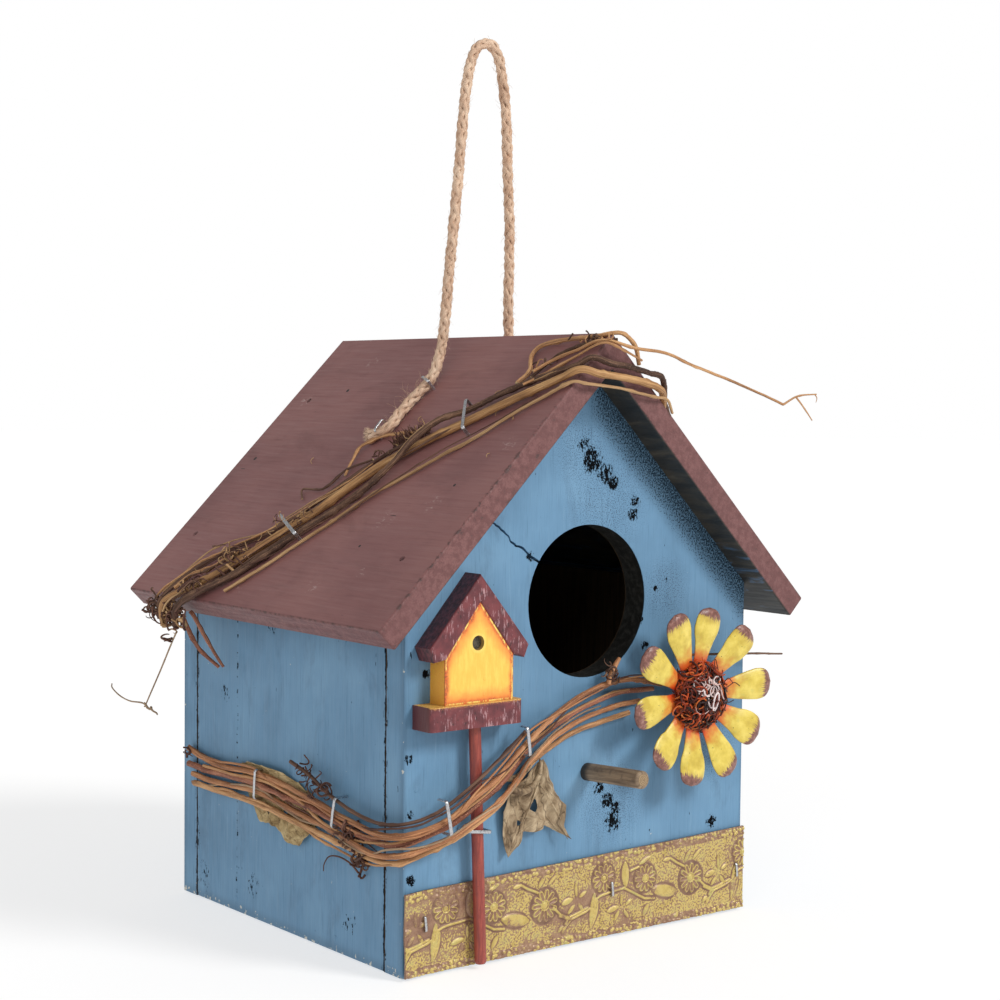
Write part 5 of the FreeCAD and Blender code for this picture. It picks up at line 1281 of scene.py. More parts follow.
B.make("wall_side_twigs", [MAT["brown"], MAT["orange"], MAT["cut"], MAT["root"]], "house", ["wall_vine_tendrils"])

# dark rootlets: a clump by the rope's cut end, and coils round the stems by the eave
rng = np.random.default_rng(77)
B = Build()


def on_roof(x, y, off):
    return np.array([x, y, slope(x, off)])


def rootlet(start, dirs, length, r, k, mat=0):
    d = np.array(dirs, float)
    d /= np.linalg.norm(d)
    side = np.cross(d, rng.normal(size=3))
    side /= np.linalg.norm(side)
    u = np.linspace(0, 1, 6)
    p = start + d * (u * length)[:, None] + side * (np.sin(u * rng.uniform(1.5, 4.0)) * 0.25 * length)[:, None]
    curl(B, p, r, k, mat, 0, 0, 0.3, 5, 0.3)


outn = np.array([-1, 0, 1]) / R2
ROOT_A, ROOT_B = (-39.6, -14.0), (-34.6, -27.0)
for i in range(130):
    u = rng.random()
    x = ROOT_A[0] + (ROOT_B[0] - ROOT_A[0]) * u + rng.normal() * 0.5
    y = ROOT_A[1] + (ROOT_B[1] - ROOT_A[1]) * u + rng.normal() * 0.8
    start = on_roof(x, y, rng.uniform(0.3, 1.6))
    up = np.array([0.35, 0.62, 0.35]) * rng.uniform(0.4, 1.0) + outn * rng.uniform(0.1, 0.9) + rng.normal(size=3) * 0.35
    rootlet(start, up, rng.uniform(1.6, 4.4), rng.uniform(0.18, 0.34), i, 0 if rng.random() < 0.8 else 1)
for i in range(26):
    u = rng.random()
    x, y = -66.0 - 26.0 * u + rng.normal() * 0.6, 2.0 + 35.0 * u + rng.normal() * 1.3
    rootlet(on_roof(x, y, rng.uniform(2.2, 3.4)), rng.normal(size=3) + outn * 0.8, rng.uniform(2.0, 5.0), rng.uniform(0.12, 0.22), 200 + i, 0 if rng.random() < 0.6 else 1)


def winding(u0, u1, rad, off, turns, r, seed, mat):
    """A tendril wound round the two main stems between two places along them."""
    n = int(26 * turns)
    u = np.linspace(0, 1, n)
    A = np.array([[-86.6, 24.2], [-78.8, 13.8], [-71.2, 4.6], [-63.8, -4.4]])
    s = np.linspace(u0, u1, n)
    k = np.linspace(0, 1, len(A))
    cx, cy = np.interp(s, k, A[:, 0]), np.interp(s, k, A[:, 1])
    along = np.array([0.6, -0.55, 0.6])
    along /= np.linalg.norm(along)
    cross = np.cross(along, outn)
    a = 2 * np.pi * turns * u + seed
    base = np.stack([cx, cy, RIDGE_Z - np.abs(cx) + off * R2], 1)
    p = base + outn * (np.maximum(np.cos(a), -0.7) * rad * 0.72)[:, None] + cross * (np.sin(a) * rad)[:, None]
    p += 0.22 * rng.normal(size=p.shape)
    curl(B, p[::4], r, seed, mat, 0, 0, 0.3, 7, 0.6)


winding(0.0, 0.26, 3.4, 2.0, 1.5, 0.46, 31, 0)
winding(0.10, 0.20, 4.2, 2.4, 0.9, 0.46, 32, 1)
hooks(B, (-96.6, 42.0, 106.6), (0.7, 4.6, 2.6), 70, 81, (0, 2, 0, 1), (0.30, 0.62), (1.0, 2.8), low=(-98.6, -99, 0))
hooks(B, (-96.2, 54.0, 108.4), (0.7, 3.4, 1.4), 18, 82, (0, 2), (0.26, 0.46), (1.0, 2.8), low=(-98.6, -99, 0))
hooks(B, (-90.6, 34.0, slope(90.6, 1.8)), (2.6, 4.4, 0.8), 36, 83, (0, 2, 1), (0.26, 0.5), (1.0, 3.0))
hooks(B, (-80.0, 22.0, slope(80.0, 1.8)), (3.4, 4.0, 0.8), 26, 84, (2, 0, 1), (0.22, 0.42), (1.0, 3.2))
hooks(B, (-66.0, 6.0, slope(66.0, 1.6)), (3.4, 3.8, 0.7), 12, 85, (2, 0, 1), (0.20, 0.36), (0.9, 2.4))
hooks(B, (-44.0, -14.0, slope(44.0, 1.4)), (2.4, 2.4, 0.5), 8, 86, (0, 2), (0.20, 0.34), (0.7, 1.8))
B.make("rootlets", [MAT["root"], MAT["straw"], MAT["brown"]], "house")

# shed fibres and curls lying on the roof paint
B = Build()
for i, (x, y, ln, a0) in enumerate([(-35.5, -24.0, 8.0, 0.6), (-28.5, -15.0, 6.0, 2.4), (-26.0, -58.0, 7.0, 1.0), (-30.0, -66.0, 8.0, 0.2),
                                    (-40.0, -68.0, 3.0, 2.0), (-20.0, -48.0, 5.0, 1.4), (-44.0, 30.0, 5.0, 2.8), (-33.0, -38.0, 5.0, 0.9)]):
    u = np.linspace(0, 1, 7)
    ang = a0 + u * rng.uniform(1.0, 3.2)
    px = x + np.cumsum(np.cos(ang)) * ln / 10
    py = y + np.cumsum(np.sin(ang)) * ln / 7
    curl(B, [on_roof(a, b, 0.35 + 0.25 * math.sin(c * 3)) for a, b, c in zip(px, py, u)], 0.16, 400 + i, 0, 0, 0, 0.3, 5, 0.5)
B.make("shed_fibres", [MAT["straw"]], "house")

# ------------------------------------------------------------------ staples
inL = (math.sqrt(0.5), 0, -math.sqrt(0.5))
for name, node, items in (
        ("wall_staples", "wall_vine_staples", [((-79.0, 12.9, 54.2), (-79.0, 13.7, 44.0), (1, 0, 0), 3.6),
                                               ((-80.2, -38.8, 53.2), (-80.2, -36.7, 43.2), (1, 0, 0), 4.8),
                                               ((-67.5, -82.7, 58.0), (-65.4, -82.7, 47.0), (0, 1, 0), 4.2),
                                               ((-31.4, -77.9, 77.1), (-30.1, -77.9, 67.6), (0, 1, 0), 3.0)]),
        ("roof_staples", "roof_vine_staples", [((-68.6, 14.6, slope(68.6, 4.0)), (-73.6, -2.8, slope(73.6, 4.0)), inL, 9.0),
                                               ((-28.7, -39.6, slope(28.7, 4.6)), (-37.0, -48.6, slope(37.0, 3.9)), inL, 10.0)])):
    B = Build()
    for a, b, inward, leg in items:
        wire_staple(B, a, b, inward, leg)
    B.make(name, [MAT["staple"]], "house", [node])
B = Build()
wire_staple(B, (-53.6, -76.75, 45.6), (-45.0, -76.75, 44.4), (0, 1, 0), 13.5, 1.1, 0.5)
B.make("pole_wire_staple", [MAT["staple"]], "house", ["pole_staple"])
B = Build()
for x, z in ((-67.5, 16.8), (11.5, 16.3), (71.2, 14.5)):
    wire_staple(B, (x, -71.9, z + 2.4), (x + 0.5, -71.9, z - 2.4), (0, 1, 0), 7.5, 0.9, 0.5, 0.45)
B.make("strip_wire_staples", [MAT["staple"]], "house", ["strip_staples"])
B = Build()
for x, y, dx, dy in ((-37.8, -0.9, 1.9, 0.3), (-21.4, -5.8, 0.7, 2.6), (22.6, -4.5, 0.1, 2.7), (35.6, -1.9, -1.3, 2.1)):
    sx = 1 if x > 0 else -1
    a = (x - dx, y - dy, slope(x - dx, 4.45))
    b = (x + dx, y + dy, slope(x + dx, 4.45))
    wire_staple(B, a, b, (-sx * math.sqrt(0.5), 0, -math.sqrt(0.5)), 10.0, 1.0, 0.5, 0.7)
B.make("rope_wire_staples", [MAT["staple"]], "house", ["rope_staples"])

# ------------------------------------------------------------- dried leaves
def leaf(name, upper, lower, place, seed, mat, node, nu=70, nv=26, thick=0.28, ragged=0.7, holes=()):
    """Sheet between two edge curves. upper and lower are (a, b) points; place maps (a, b, u, v) to a point in mm."""
    up, lo = np.array(upper, float), np.array(lower, float)
    u = np.linspace(0, 1, nu)

    def along(c):
        d = np.r_[0, np.cumsum(np.hypot(*np.diff(c, axis=0).T))]
        return np.stack([np.interp(u * d[-1], d, c[:, k]) for k in (0, 1)], 1)

    A, Bo = along(up), along(lo)
    rag = lambda k: ragged * fbm(np.stack([u * 14, u * 0 + k, u * 0], 1), 3, seed)
    A[:, 1] += rag(0)
    Bo[:, 1] += rag(5)
    v = np.linspace(0, 1, nv)
    U, Vv = np.meshgrid(u, v, indexing="ij")
    P = A[:, None, :] * (1 - Vv[..., None]) + Bo[:, None, :] * Vv[..., None]
    pts = place(P[..., 0], P[..., 1], U, Vv)
    keep = np.ones((nu - 1, nv - 1), bool)
    for ca, cb, r in holes:
        mid = (P[:-1, :-1] + P[1:, 1:]) / 2
        d = np.hypot(mid[..., 0] - ca, mid[..., 1] - cb) + 0.5 * fbm(np.stack([mid[..., 0] * 0.8, mid[..., 1] * 0.8, mid[..., 0] * 0], -1), 2, seed)
        keep &= d > r
    faces = [(i * nv + j, (i + 1) * nv + j, (i + 1) * nv + j + 1, i * nv + j + 1)
             for i in range(nu - 1) for j in range(nv - 1) if keep[i, j]]
    used = sorted({k for f in faces for k in f})
    index = {k: n for n, k in enumerate(used)}
    B = Build()
    size = float(np.ptp(P[..., 0]))
    coord = np.stack([U * size, Vv * size, U * 0], -1).reshape(-1, 3)[used]
    B.add(pts.reshape(-1, 3)[used], [tuple(index[k] for k in f) for f in faces], 0, True, coord, 0.5)
    o = B.make(name, [MAT[mat]], "house", [node])
    s = o.modifiers.new("thick", "SOLIDIFY")
    s.thickness = thick * MM
    s.offset = 0
    d = o.modifiers.new("smooth", "SUBSURF")
    d.levels = d.render_levels = 1
    return o


def side_leaf(a, b, u, v):
    wr = 0.45 * fbm(np.stack([a * 0.22, b * 0.22, a * 0], -1), 3, 61) + 0.25 * np.sin(a * 0.9 + b * 0.35)
    out = 0.55 + 0.35 * wr + 1.9 * sstep(b, 53.2, 57.2) * (1 - 0.4 * sstep(a, 12, 26)) + 1.6 * sstep(38.5, b, 36.0) * 0 \
        + 1.7 * sstep(-b, -39.0, -35.2)
    drop = -1.4 * sstep(b, 55.2, 57.4)
    return np.stack([-75.15 - np.clip(out, 0.1, 3.2), a, b + drop], -1)


leaf("side_leaf", [(28.3, 53.6), (23.0, 56.2), (14.6, 57.6), (6.0, 56.6), (0.8, 55.4), (-11.3, 53.2), (-18.5, 49.6), (-22.4, 45.6)],
     [(28.0, 52.2), (22.0, 43.0), (17.8, 38.6), (9.8, 35.8), (2.0, 36.6), (-5.1, 32.6), (-13.3, 32.4), (-22.6, 42.0)],
     side_leaf, 71, "leaf_a", "leaf_side", nu=90, nv=36, ragged=1.3, holes=((-2.0, 41.6, 1.2), (9.0, 40.0, 0.8)))


def front_leaf(a, b, u, v):
    wr = 0.9 * fbm(np.stack([a * 0.16, b * 0.12, a * 0], -1), 3, 65)
    fold = 0.75 * np.sin((a + 0.35 * b) * 0.62) + 0.35 * np.sin((a - 0.2 * b) * 1.5 + 1.0)
    out = 2.1 + wr + fold + 1.5 * sstep(b, 50, 62) + 1.1 * sstep(-b, -44.0, -35.0) + 1.2 * sstep(a, -16, -9)
    return np.stack([a, -70.25 - np.clip(out, 0.15, 6.0), b], -1)


leaf("front_leaf", [(-35.3, 34.0), (-36.5, 42.4), (-37.0, 49.1), (-35.0, 55.4), (-28.8, 60.0), (-21.7, 65.4)],
     [(-35.3, 34.0), (-31.1, 37.4), (-27.9, 42.1), (-23.5, 40.6), (-19.2, 41.8), (-15.8, 43.9), (-9.7, 36.4), (-12.5, 41.8), (-10.3, 47.9),
      (-14.6, 52.0), (-18.5, 57.7), (-21.7, 65.4)],
     front_leaf, 81, "leaf_b", "leaf_front", nu=110, nv=40, holes=((-24.3, 49.6, 1.7), (-30.2, 44.6, 0.9)))

# rolled leaf edge and torn ribs in front of the bundle
B = Build()
curl(B, [(-36.4, -74.4, 57.4), (-33.6, -75.4, 56.2), (-30.0, -75.8, 56.0), (-26.0, -75.4, 57.4), (-23.4, -74.6, 60.4), (-22.4, -74.0, 64.6)],
     1.15, 501, 0, 1.2, 0.3, 0.3, 14, 0.5, 0.25)
curl(B, [(-37.8, -73.6, 60.2), (-34.6, -75.0, 60.6), (-31.0, -75.6, 61.6), (-27.6, -75.2, 63.6)], 0.85, 502, 0, 1.0, 0.3, 0.3, 12, 0.5, 0.25)
curl(B, [(-21.9, -72.8, 65.0), (-23.0, -73.6, 58.0), (-26.4, -73.4, 50.0), (-30.6, -73.0, 42.0), (-35.0, -72.6, 34.6)], 0.34, 503, 0, 0, 0, 0.3, 8, 0.4)
curl(B, [(-22.4, -73.4, 57.0), (-18.0, -73.6, 51.0), (-14.0, -73.4, 45.0), (-9.9, -73.2, 36.8)], 0.30, 504, 0, 0, 0, 0.3, 8, 0.4)
B.make("leaf_ribs", [MAT["leaf_b"]], "house")

# -------------------------------------------------------------------- flower
FX, FY, FZ = 42.2, -78.6, 81.4
PETALS = [(116.2, 32.0), (84.5, 30.6), (44.5, 31.0), (5.0, 32.8), (-30.2, 31.2), (-64.5, 31.4),
          (-99.0, 30.8), (-133.5, 30.2), (-172.5, 31.6), (150.6, 32.6)]


def flower():
    rng = np.random.default_rng(21)
    B = Build()
    nu, nv = 44, 17
    for k, (ang, R) in enumerate(PETALS):
        u = np.linspace(0, 1, nu)
        r = 4.6 + (R - 4.6) * u
        wmax = 5.35 * rng.uniform(0.95, 1.05)
        half = np.interp(r, [4.6, 9, 14, 19, R - 9, R - 6.4, R - 4.4], [2.2, 2.35, 2.95, 4.0, 4.95 * wmax / 5.35, wmax, wmax * 0.97])
        tipc = np.clip((r - (R - 5.0)) / 5.0, 0, 1)
        half = half * np.sqrt(np.clip(1 - tipc ** 2.4, 0.0, 1))
        half = np.maximum(half, 0.02)
        half = half * (1 + 0.03 * fbm(np.stack([u * 4, u * 0 + k, u * 0], 1), 2, 5))
        v = np.linspace(-1, 1, nv)
        U, V = np.meshgrid(u, v, indexing="ij")
        Rr, W = np.broadcast_to(r[:, None], U.shape), np.broadcast_to(half[:, None], U.shape)
        lift = (Rr - 4.6) * math.tan(math.radians(11.0)) + rng.uniform(-0.25, 0.25) * U
        belly = 0.75 * (1 - V ** 2) * np.clip(W / 4.0, 0, 1.2) + 0.45 * np.sin(U * math.pi) - 0.9 * sstep(U, 0.86, 1.0) * 0.5
        dent = 0.14 * fbm(np.stack([U * 3 + k * 5, V * 1.4, V * 0], -1), 3, 41)
        h = lift + belly - 0.35 + dent
        th = 0.72
        a = math.radians(ang)
        ca, sa = math.cos(a), math.sin(a)
        X, Z = Rr * ca - W * V * sa, Rr * sa + W * V * ca

        def pt(X_, Z_, H_):
            return np.stack([FX + X_, FY - H_, FZ + Z_], -1).reshape(-1, 3)

        top = pt(X, Z, h + 0.5)
        bot = pt(X, Z, h + 0.5 - th)
        # rounded rim between top and bottom
        loop = [(i, nv - 1) for i in range(nu)] + [(nu - 1, j) for j in range(nv - 2, -1, -1)] + [(i, 0) for i in range(nu - 2, -1, -1)] + \
               [(0, j) for j in range(1, nv - 1)]
        cx, cz = Rr.mean() * ca, Rr.mean() * sa
        ridx = np.array([i * nv + j for i, j in loop])
        mid = (top[ridx] + bot[ridx]) / 2
        out = mid - np.array([FX + cx, 0, FZ + cz])
        out[:, 1] = 0
        edge_dir = np.roll(mid, -1, 0) - np.roll(mid, 1, 0)
        nrm = np.cross(edge_dir, (0, 1, 0))
        nrm /= np.maximum(np.linalg.norm(nrm, axis=1), 1e-9)[:, None]
        nrm *= np.sign((nrm * out).sum(1))[:, None]
        m1 = mid + nrm * 0.30 + (top[ridx] - mid) * 0.45
        m2 = mid + nrm * 0.30 + (bot[ridx] - mid) * 0.45
        verts = np.vstack([top, bot, m1, m2])
        nt, nl = nu * nv, len(loop)
        faces = []
        for i in range(nu - 1):
            for j in range(nv - 1):
                q0, q1, q2, q3 = i * nv + j, (i + 1) * nv + j, (i + 1) * nv + j + 1, i * nv + j + 1
                faces.append((q0, q1, q2, q3))
                faces.append((nt + q3, nt + q2, nt + q1, nt + q0))
        for i in range(nl):
            k2 = (i + 1) % nl
            a0, a1 = int(ridx[i]), int(ridx[k2])
            faces += [(a0, 2 * nt + i, 2 * nt + k2, a1), (2 * nt + i, 2 * nt + nl + i, 2 * nt + nl + k2, 2 * nt + k2),
                      (2 * nt + nl + i, nt + a0, nt + a1, 2 * nt + nl + k2)]
        t = np.concatenate([U.ravel(), U.ravel(), U.ravel()[ridx], U.ravel()[ridx]])
        rim = np.concatenate([np.zeros(nt), np.ones(nt), np.full(nl, 0.35), np.full(nl, 1.0)])
        coord = np.stack([np.full(len(verts), float(k)), np.concatenate([V.ravel(), V.ravel(), V.ravel()[ridx], V.ravel()[ridx]]), rim], 1)
        B.add(verts, faces, 0, True, coord, t)
    # stamped hub under the tuft
    ns, nr = 64, 8
    ring, coord, faces = [], [], []
    for j in range(nr + 1):
        rr = 8.6 * j / nr
        for i in range(ns):
            a = 2 * np.pi * i / ns
            ring.append((FX + rr * math.cos(a), FY - 0.55 - 0.35 * math.cos(rr / 8.6 * 1.5), FZ + rr * math.sin(a)))
            coord.append((0, 0, 0.2))
    for j in range(nr + 1):
        rr = 8.6 * j / nr
        for i in range(ns):
            a = 2 * np.pi * i / ns
            ring.append((FX + rr * math.cos(a), FY + 0.0, FZ + rr * math.sin(a)))
            coord.append((0, 0, 1))
    o2 = (nr + 1) * ns
    for j in range(nr):
        for i in range(ns):
            k2 = (i + 1) % ns
            faces.append((j * ns + i, (j + 1) * ns + i, (j + 1) * ns + k2, j * ns + k2))
            faces.append((o2 + j * ns + k2, o2 + (j + 1) * ns + k2, o2 + (j + 1) * ns + i, o2 + j * ns + i))
    for i in range(ns):
        k2 = (i + 1) % ns
        faces.append((nr * ns + i, o2 + nr * ns + i, o2 + nr * ns + k2, nr * ns + k2))
    B.add(np.array(ring), faces, 0, True, np.array(coord), 0.05)
    o = B.make("flower_petal_ring", [MAT["petal"]], "house", ["flower_petals"])
    bm = bmesh.new()
    bm.from_mesh(o.data)
    bmesh.ops.remove_doubles(bm, verts=bm.verts, dist=2e-6)
    bmesh.ops.recalc_face_normals(bm, faces=bm.faces)
    bm.to_mesh(o.data)
    bm.free()

    # curly fibre tuft, with loose coloured threads over a dense core
    T = Build()
    for k in range(560):
        rr = 10.2 * math.sqrt(rng.random())
        a0 = rng.random() * 2 * np.pi
        base = np.array([FX + rr * math.cos(a0), FY - 1.2, FZ + rr * math.sin(a0)])
        dome = math.sqrt(max(0.0, 1 - (rr / 11.6) ** 2)) * 7.6
        out = np.array([math.cos(a0) * rr / 9.2, -1.0, math.sin(a0) * rr / 9.2])
        out /= np.linalg.norm(out)
        centre = base + out * rng.uniform(0.35, 0.95) * max(dome, 2.6)
        cr = rng.uniform(1.2, 3.6)
        e1 = np.cross(out, rng.normal(size=3))
        e1 /= np.linalg.norm(e1)
        e2 = np.cross(out, e1) * rng.uniform(0.4, 1.0)
        turns = rng.uniform(0.30, 1.05)
        n = int(18 * turns) + 8
        u = np.linspace(0, 1, n)
        ph = rng.random() * 6.28 + u * 2 * np.pi * turns
        p = centre + e1 * (np.cos(ph) * cr)[:, None] + e2 * (np.sin(ph) * cr)[:, None] + out * ((u - 0.5) * rng.uniform(0.5, 2.2))[:, None]
        off = p - np.array([FX, FY, FZ])
        far = np.linalg.norm(off, axis=1)
        p = np.array([FX, FY, FZ]) + off * np.minimum(1, rng.uniform(8.2, 13.6) / np.maximum(far, 1e-6))[:, None]
        p[:, 1] = np.minimum(p[:, 1], FY - 1.0)
        x_rel, z_rel = (centre[0] - FX), (centre[2] - FZ)
        # white threads go only on the raised top of the tuft, set toward the key light: partly the tuft's pale fibres,
        # partly a painted highlight
        white = 1.4 * math.exp(-(((x_rel - 1.4) / 4.6) ** 2 + ((z_rel - 1.6) / 4.2) ** 2)) if centre[1] < FY - 4.0 else 0
        ringy = sstep(np.array(rr), 5.6, 8.6)
        if rng.random() < white * 0.95:
            c = rng.uniform(0.86, 1.0)
        elif rng.random() < 0.22 + 0.40 * float(ringy) * (0.5 + 0.5 * math.sin(a0 * 1.0 - 1.0)):
            c = rng.uniform(0.46, 0.74)
        else:
            c = rng.uniform(0.0, 0.52)
        T.tube(p, rng.uniform(0.19, 0.36) * (1.05 if c > 0.85 else 1.0) * (1 - 0.4 * np.abs(2 * u - 1) ** 3), 6, 0, 0, float(c))
    for dx, dz, mat_c in ((9.6, 4.4, 0.2), (12.2, 3.0, 0.1), (-1.5, 11.0, 0.62), (10.0, -2.2, 0.3), (4.0, 10.0, 0.35), (-9.6, -3.0, 0.3)):
        q = smooth_path([(FX + dx * 0.4, FY - 4, FZ + dz * 0.4), (FX + dx * 0.8, FY - 6.2, FZ + dz * 0.9), (FX + dx * 1.15, FY - 5.6, FZ + dz * 1.3),
                         (FX + dx * 1.3, FY - 6.6, FZ + dz * 0.9)], 0.4)
        T.tube(q, 0.16, 6, 0, 0, mat_c)
    core_u, core_v = np.meshgrid(np.linspace(0.02, 1, 14), np.linspace(0, 2 * np.pi, 36, endpoint=False), indexing="ij")
    rr = 7.6 * np.sin(core_u * np.pi / 2)
    hh = 1.0 + 5.0 * np.cos(core_u * np.pi / 2)
    bump = 0.7 * fbm(np.stack([rr * np.cos(core_v) * 0.7, hh * 0.7, rr * np.sin(core_v) * 0.7], -1), 3, 3)
    rr, hh = rr + bump, hh + bump
    core = np.stack([FX + rr * np.cos(core_v), FY - hh, FZ + rr * np.sin(core_v)], -1).reshape(-1, 3)
    base_ring = np.stack([FX + 7.0 * np.cos(core_v[0]), FY - 0.9 + 0 * core_v[0], FZ + 7.0 * np.sin(core_v[0])], -1)
    top_pt = np.array([[FX, FY - 6.3, FZ]])
    vv = np.vstack([core, base_ring, top_pt, [[FX, FY - 0.9, FZ]]])
    ff = []
    for i in range(13):
        for j in range(36):
            k2 = (j + 1) % 36
            ff.append((i * 36 + j, (i + 1) * 36 + j, (i + 1) * 36 + k2, i * 36 + k2))
    nb = 14 * 36
    for j in range(36):
        k2 = (j + 1) % 36
        ff.append((13 * 36 + j, nb + j, nb + k2, 13 * 36 + k2))
        ff.append((j, k2, nb + 36)[::-1])
        ff.append((nb + j, nb + 37, nb + k2))
    T.add(vv, ff, 0, True, vv * 0.3, 0.06)
    t = T.make("flower_tuft", [MAT["tuft"]], "house", ["flower_centre"])
    return o, t


flower()

# ------------------------------------------------------------ embossed strip
PERIOD = 66.8
OVALS = [  # two ends, half width, height
    ((-4.3, 20.8), (-4.0, 16.4), 0.75), ((0.3, 17.4), (-2.6, 15.8), 0.85), ((-10.4, 14.5), (-5.9, 15.6), 1.15),
    ((-7.4, 10.9), (-5.0, 13.4), 0.85), ((-1.2, 11.0), (-3.1, 13.5), 0.85), ((16.5, 13.7), (16.6, 9.9), 0.75),
    ((21.1, 11.1), (18.6, 9.6), 0.80), ((10.0, 8.6), (15.0, 9.5), 1.10), ((13.4, 5.3), (15.3, 7.8), 0.85),
    ((19.5, 5.4), (17.8, 7.8), 0.80), ((18.0, 24.4), (18.4, 16.6), 1.95), ((26.6, 4.4), (29.0, 8.2), 1.1),
    ((31.3, 13.1), (41.7, 11.0), 2.45), ((35.7, 23.0), (38.9, 23.5), 0.85), ((46.2, 21.4), (48.8, 24.9), 0.95),
    ((55.2, 5.2), (57.2, 7.0), 0.9), ((-9.8, 4.4), (-8.4, 6.6), 0.8), ((24.6, 23.2), (29.8, 25.4), 0.9), ((-16.6, 21.6), (-13.0, 24.6), 0.8)]
LEAVES = [((5.2, 13.1), (2.5, 4.0), 1.55), ((70.9, 15.8), (69.2, 5.8), 1.35)]
DAISIES = [(8.1, 20.6, 4.6, 1.0), (27.4, 17.9, 4.6, 1.15), (49.0, 14.9, 5.2, 1.35)]
STEMS = [[(-11.1, 10.7), (-6.3, 8.7), (0.1, 10.1), (2.0, 11.0)], [(-6.3, 8.7), (-8.7, 6.1)],
         [(3.4, 13.2), (6.6, 14.6), (10.4, 15.2), (17.6, 15.8), (22.7, 13.0), (27.3, 10.6), (31.8, 10.0)],
         [(52.9, 13.7), (55.9, 11.3), (59.6, 9.6), (63.8, 10.3), (68.0, 11.5)], [(38.9, 23.5), (42.1, 21.5), (45.7, 19.7)],
         [(59.6, 9.6), (58.3, 7.6)], [(24.4, 22.4), (20.6, 21.4)]]


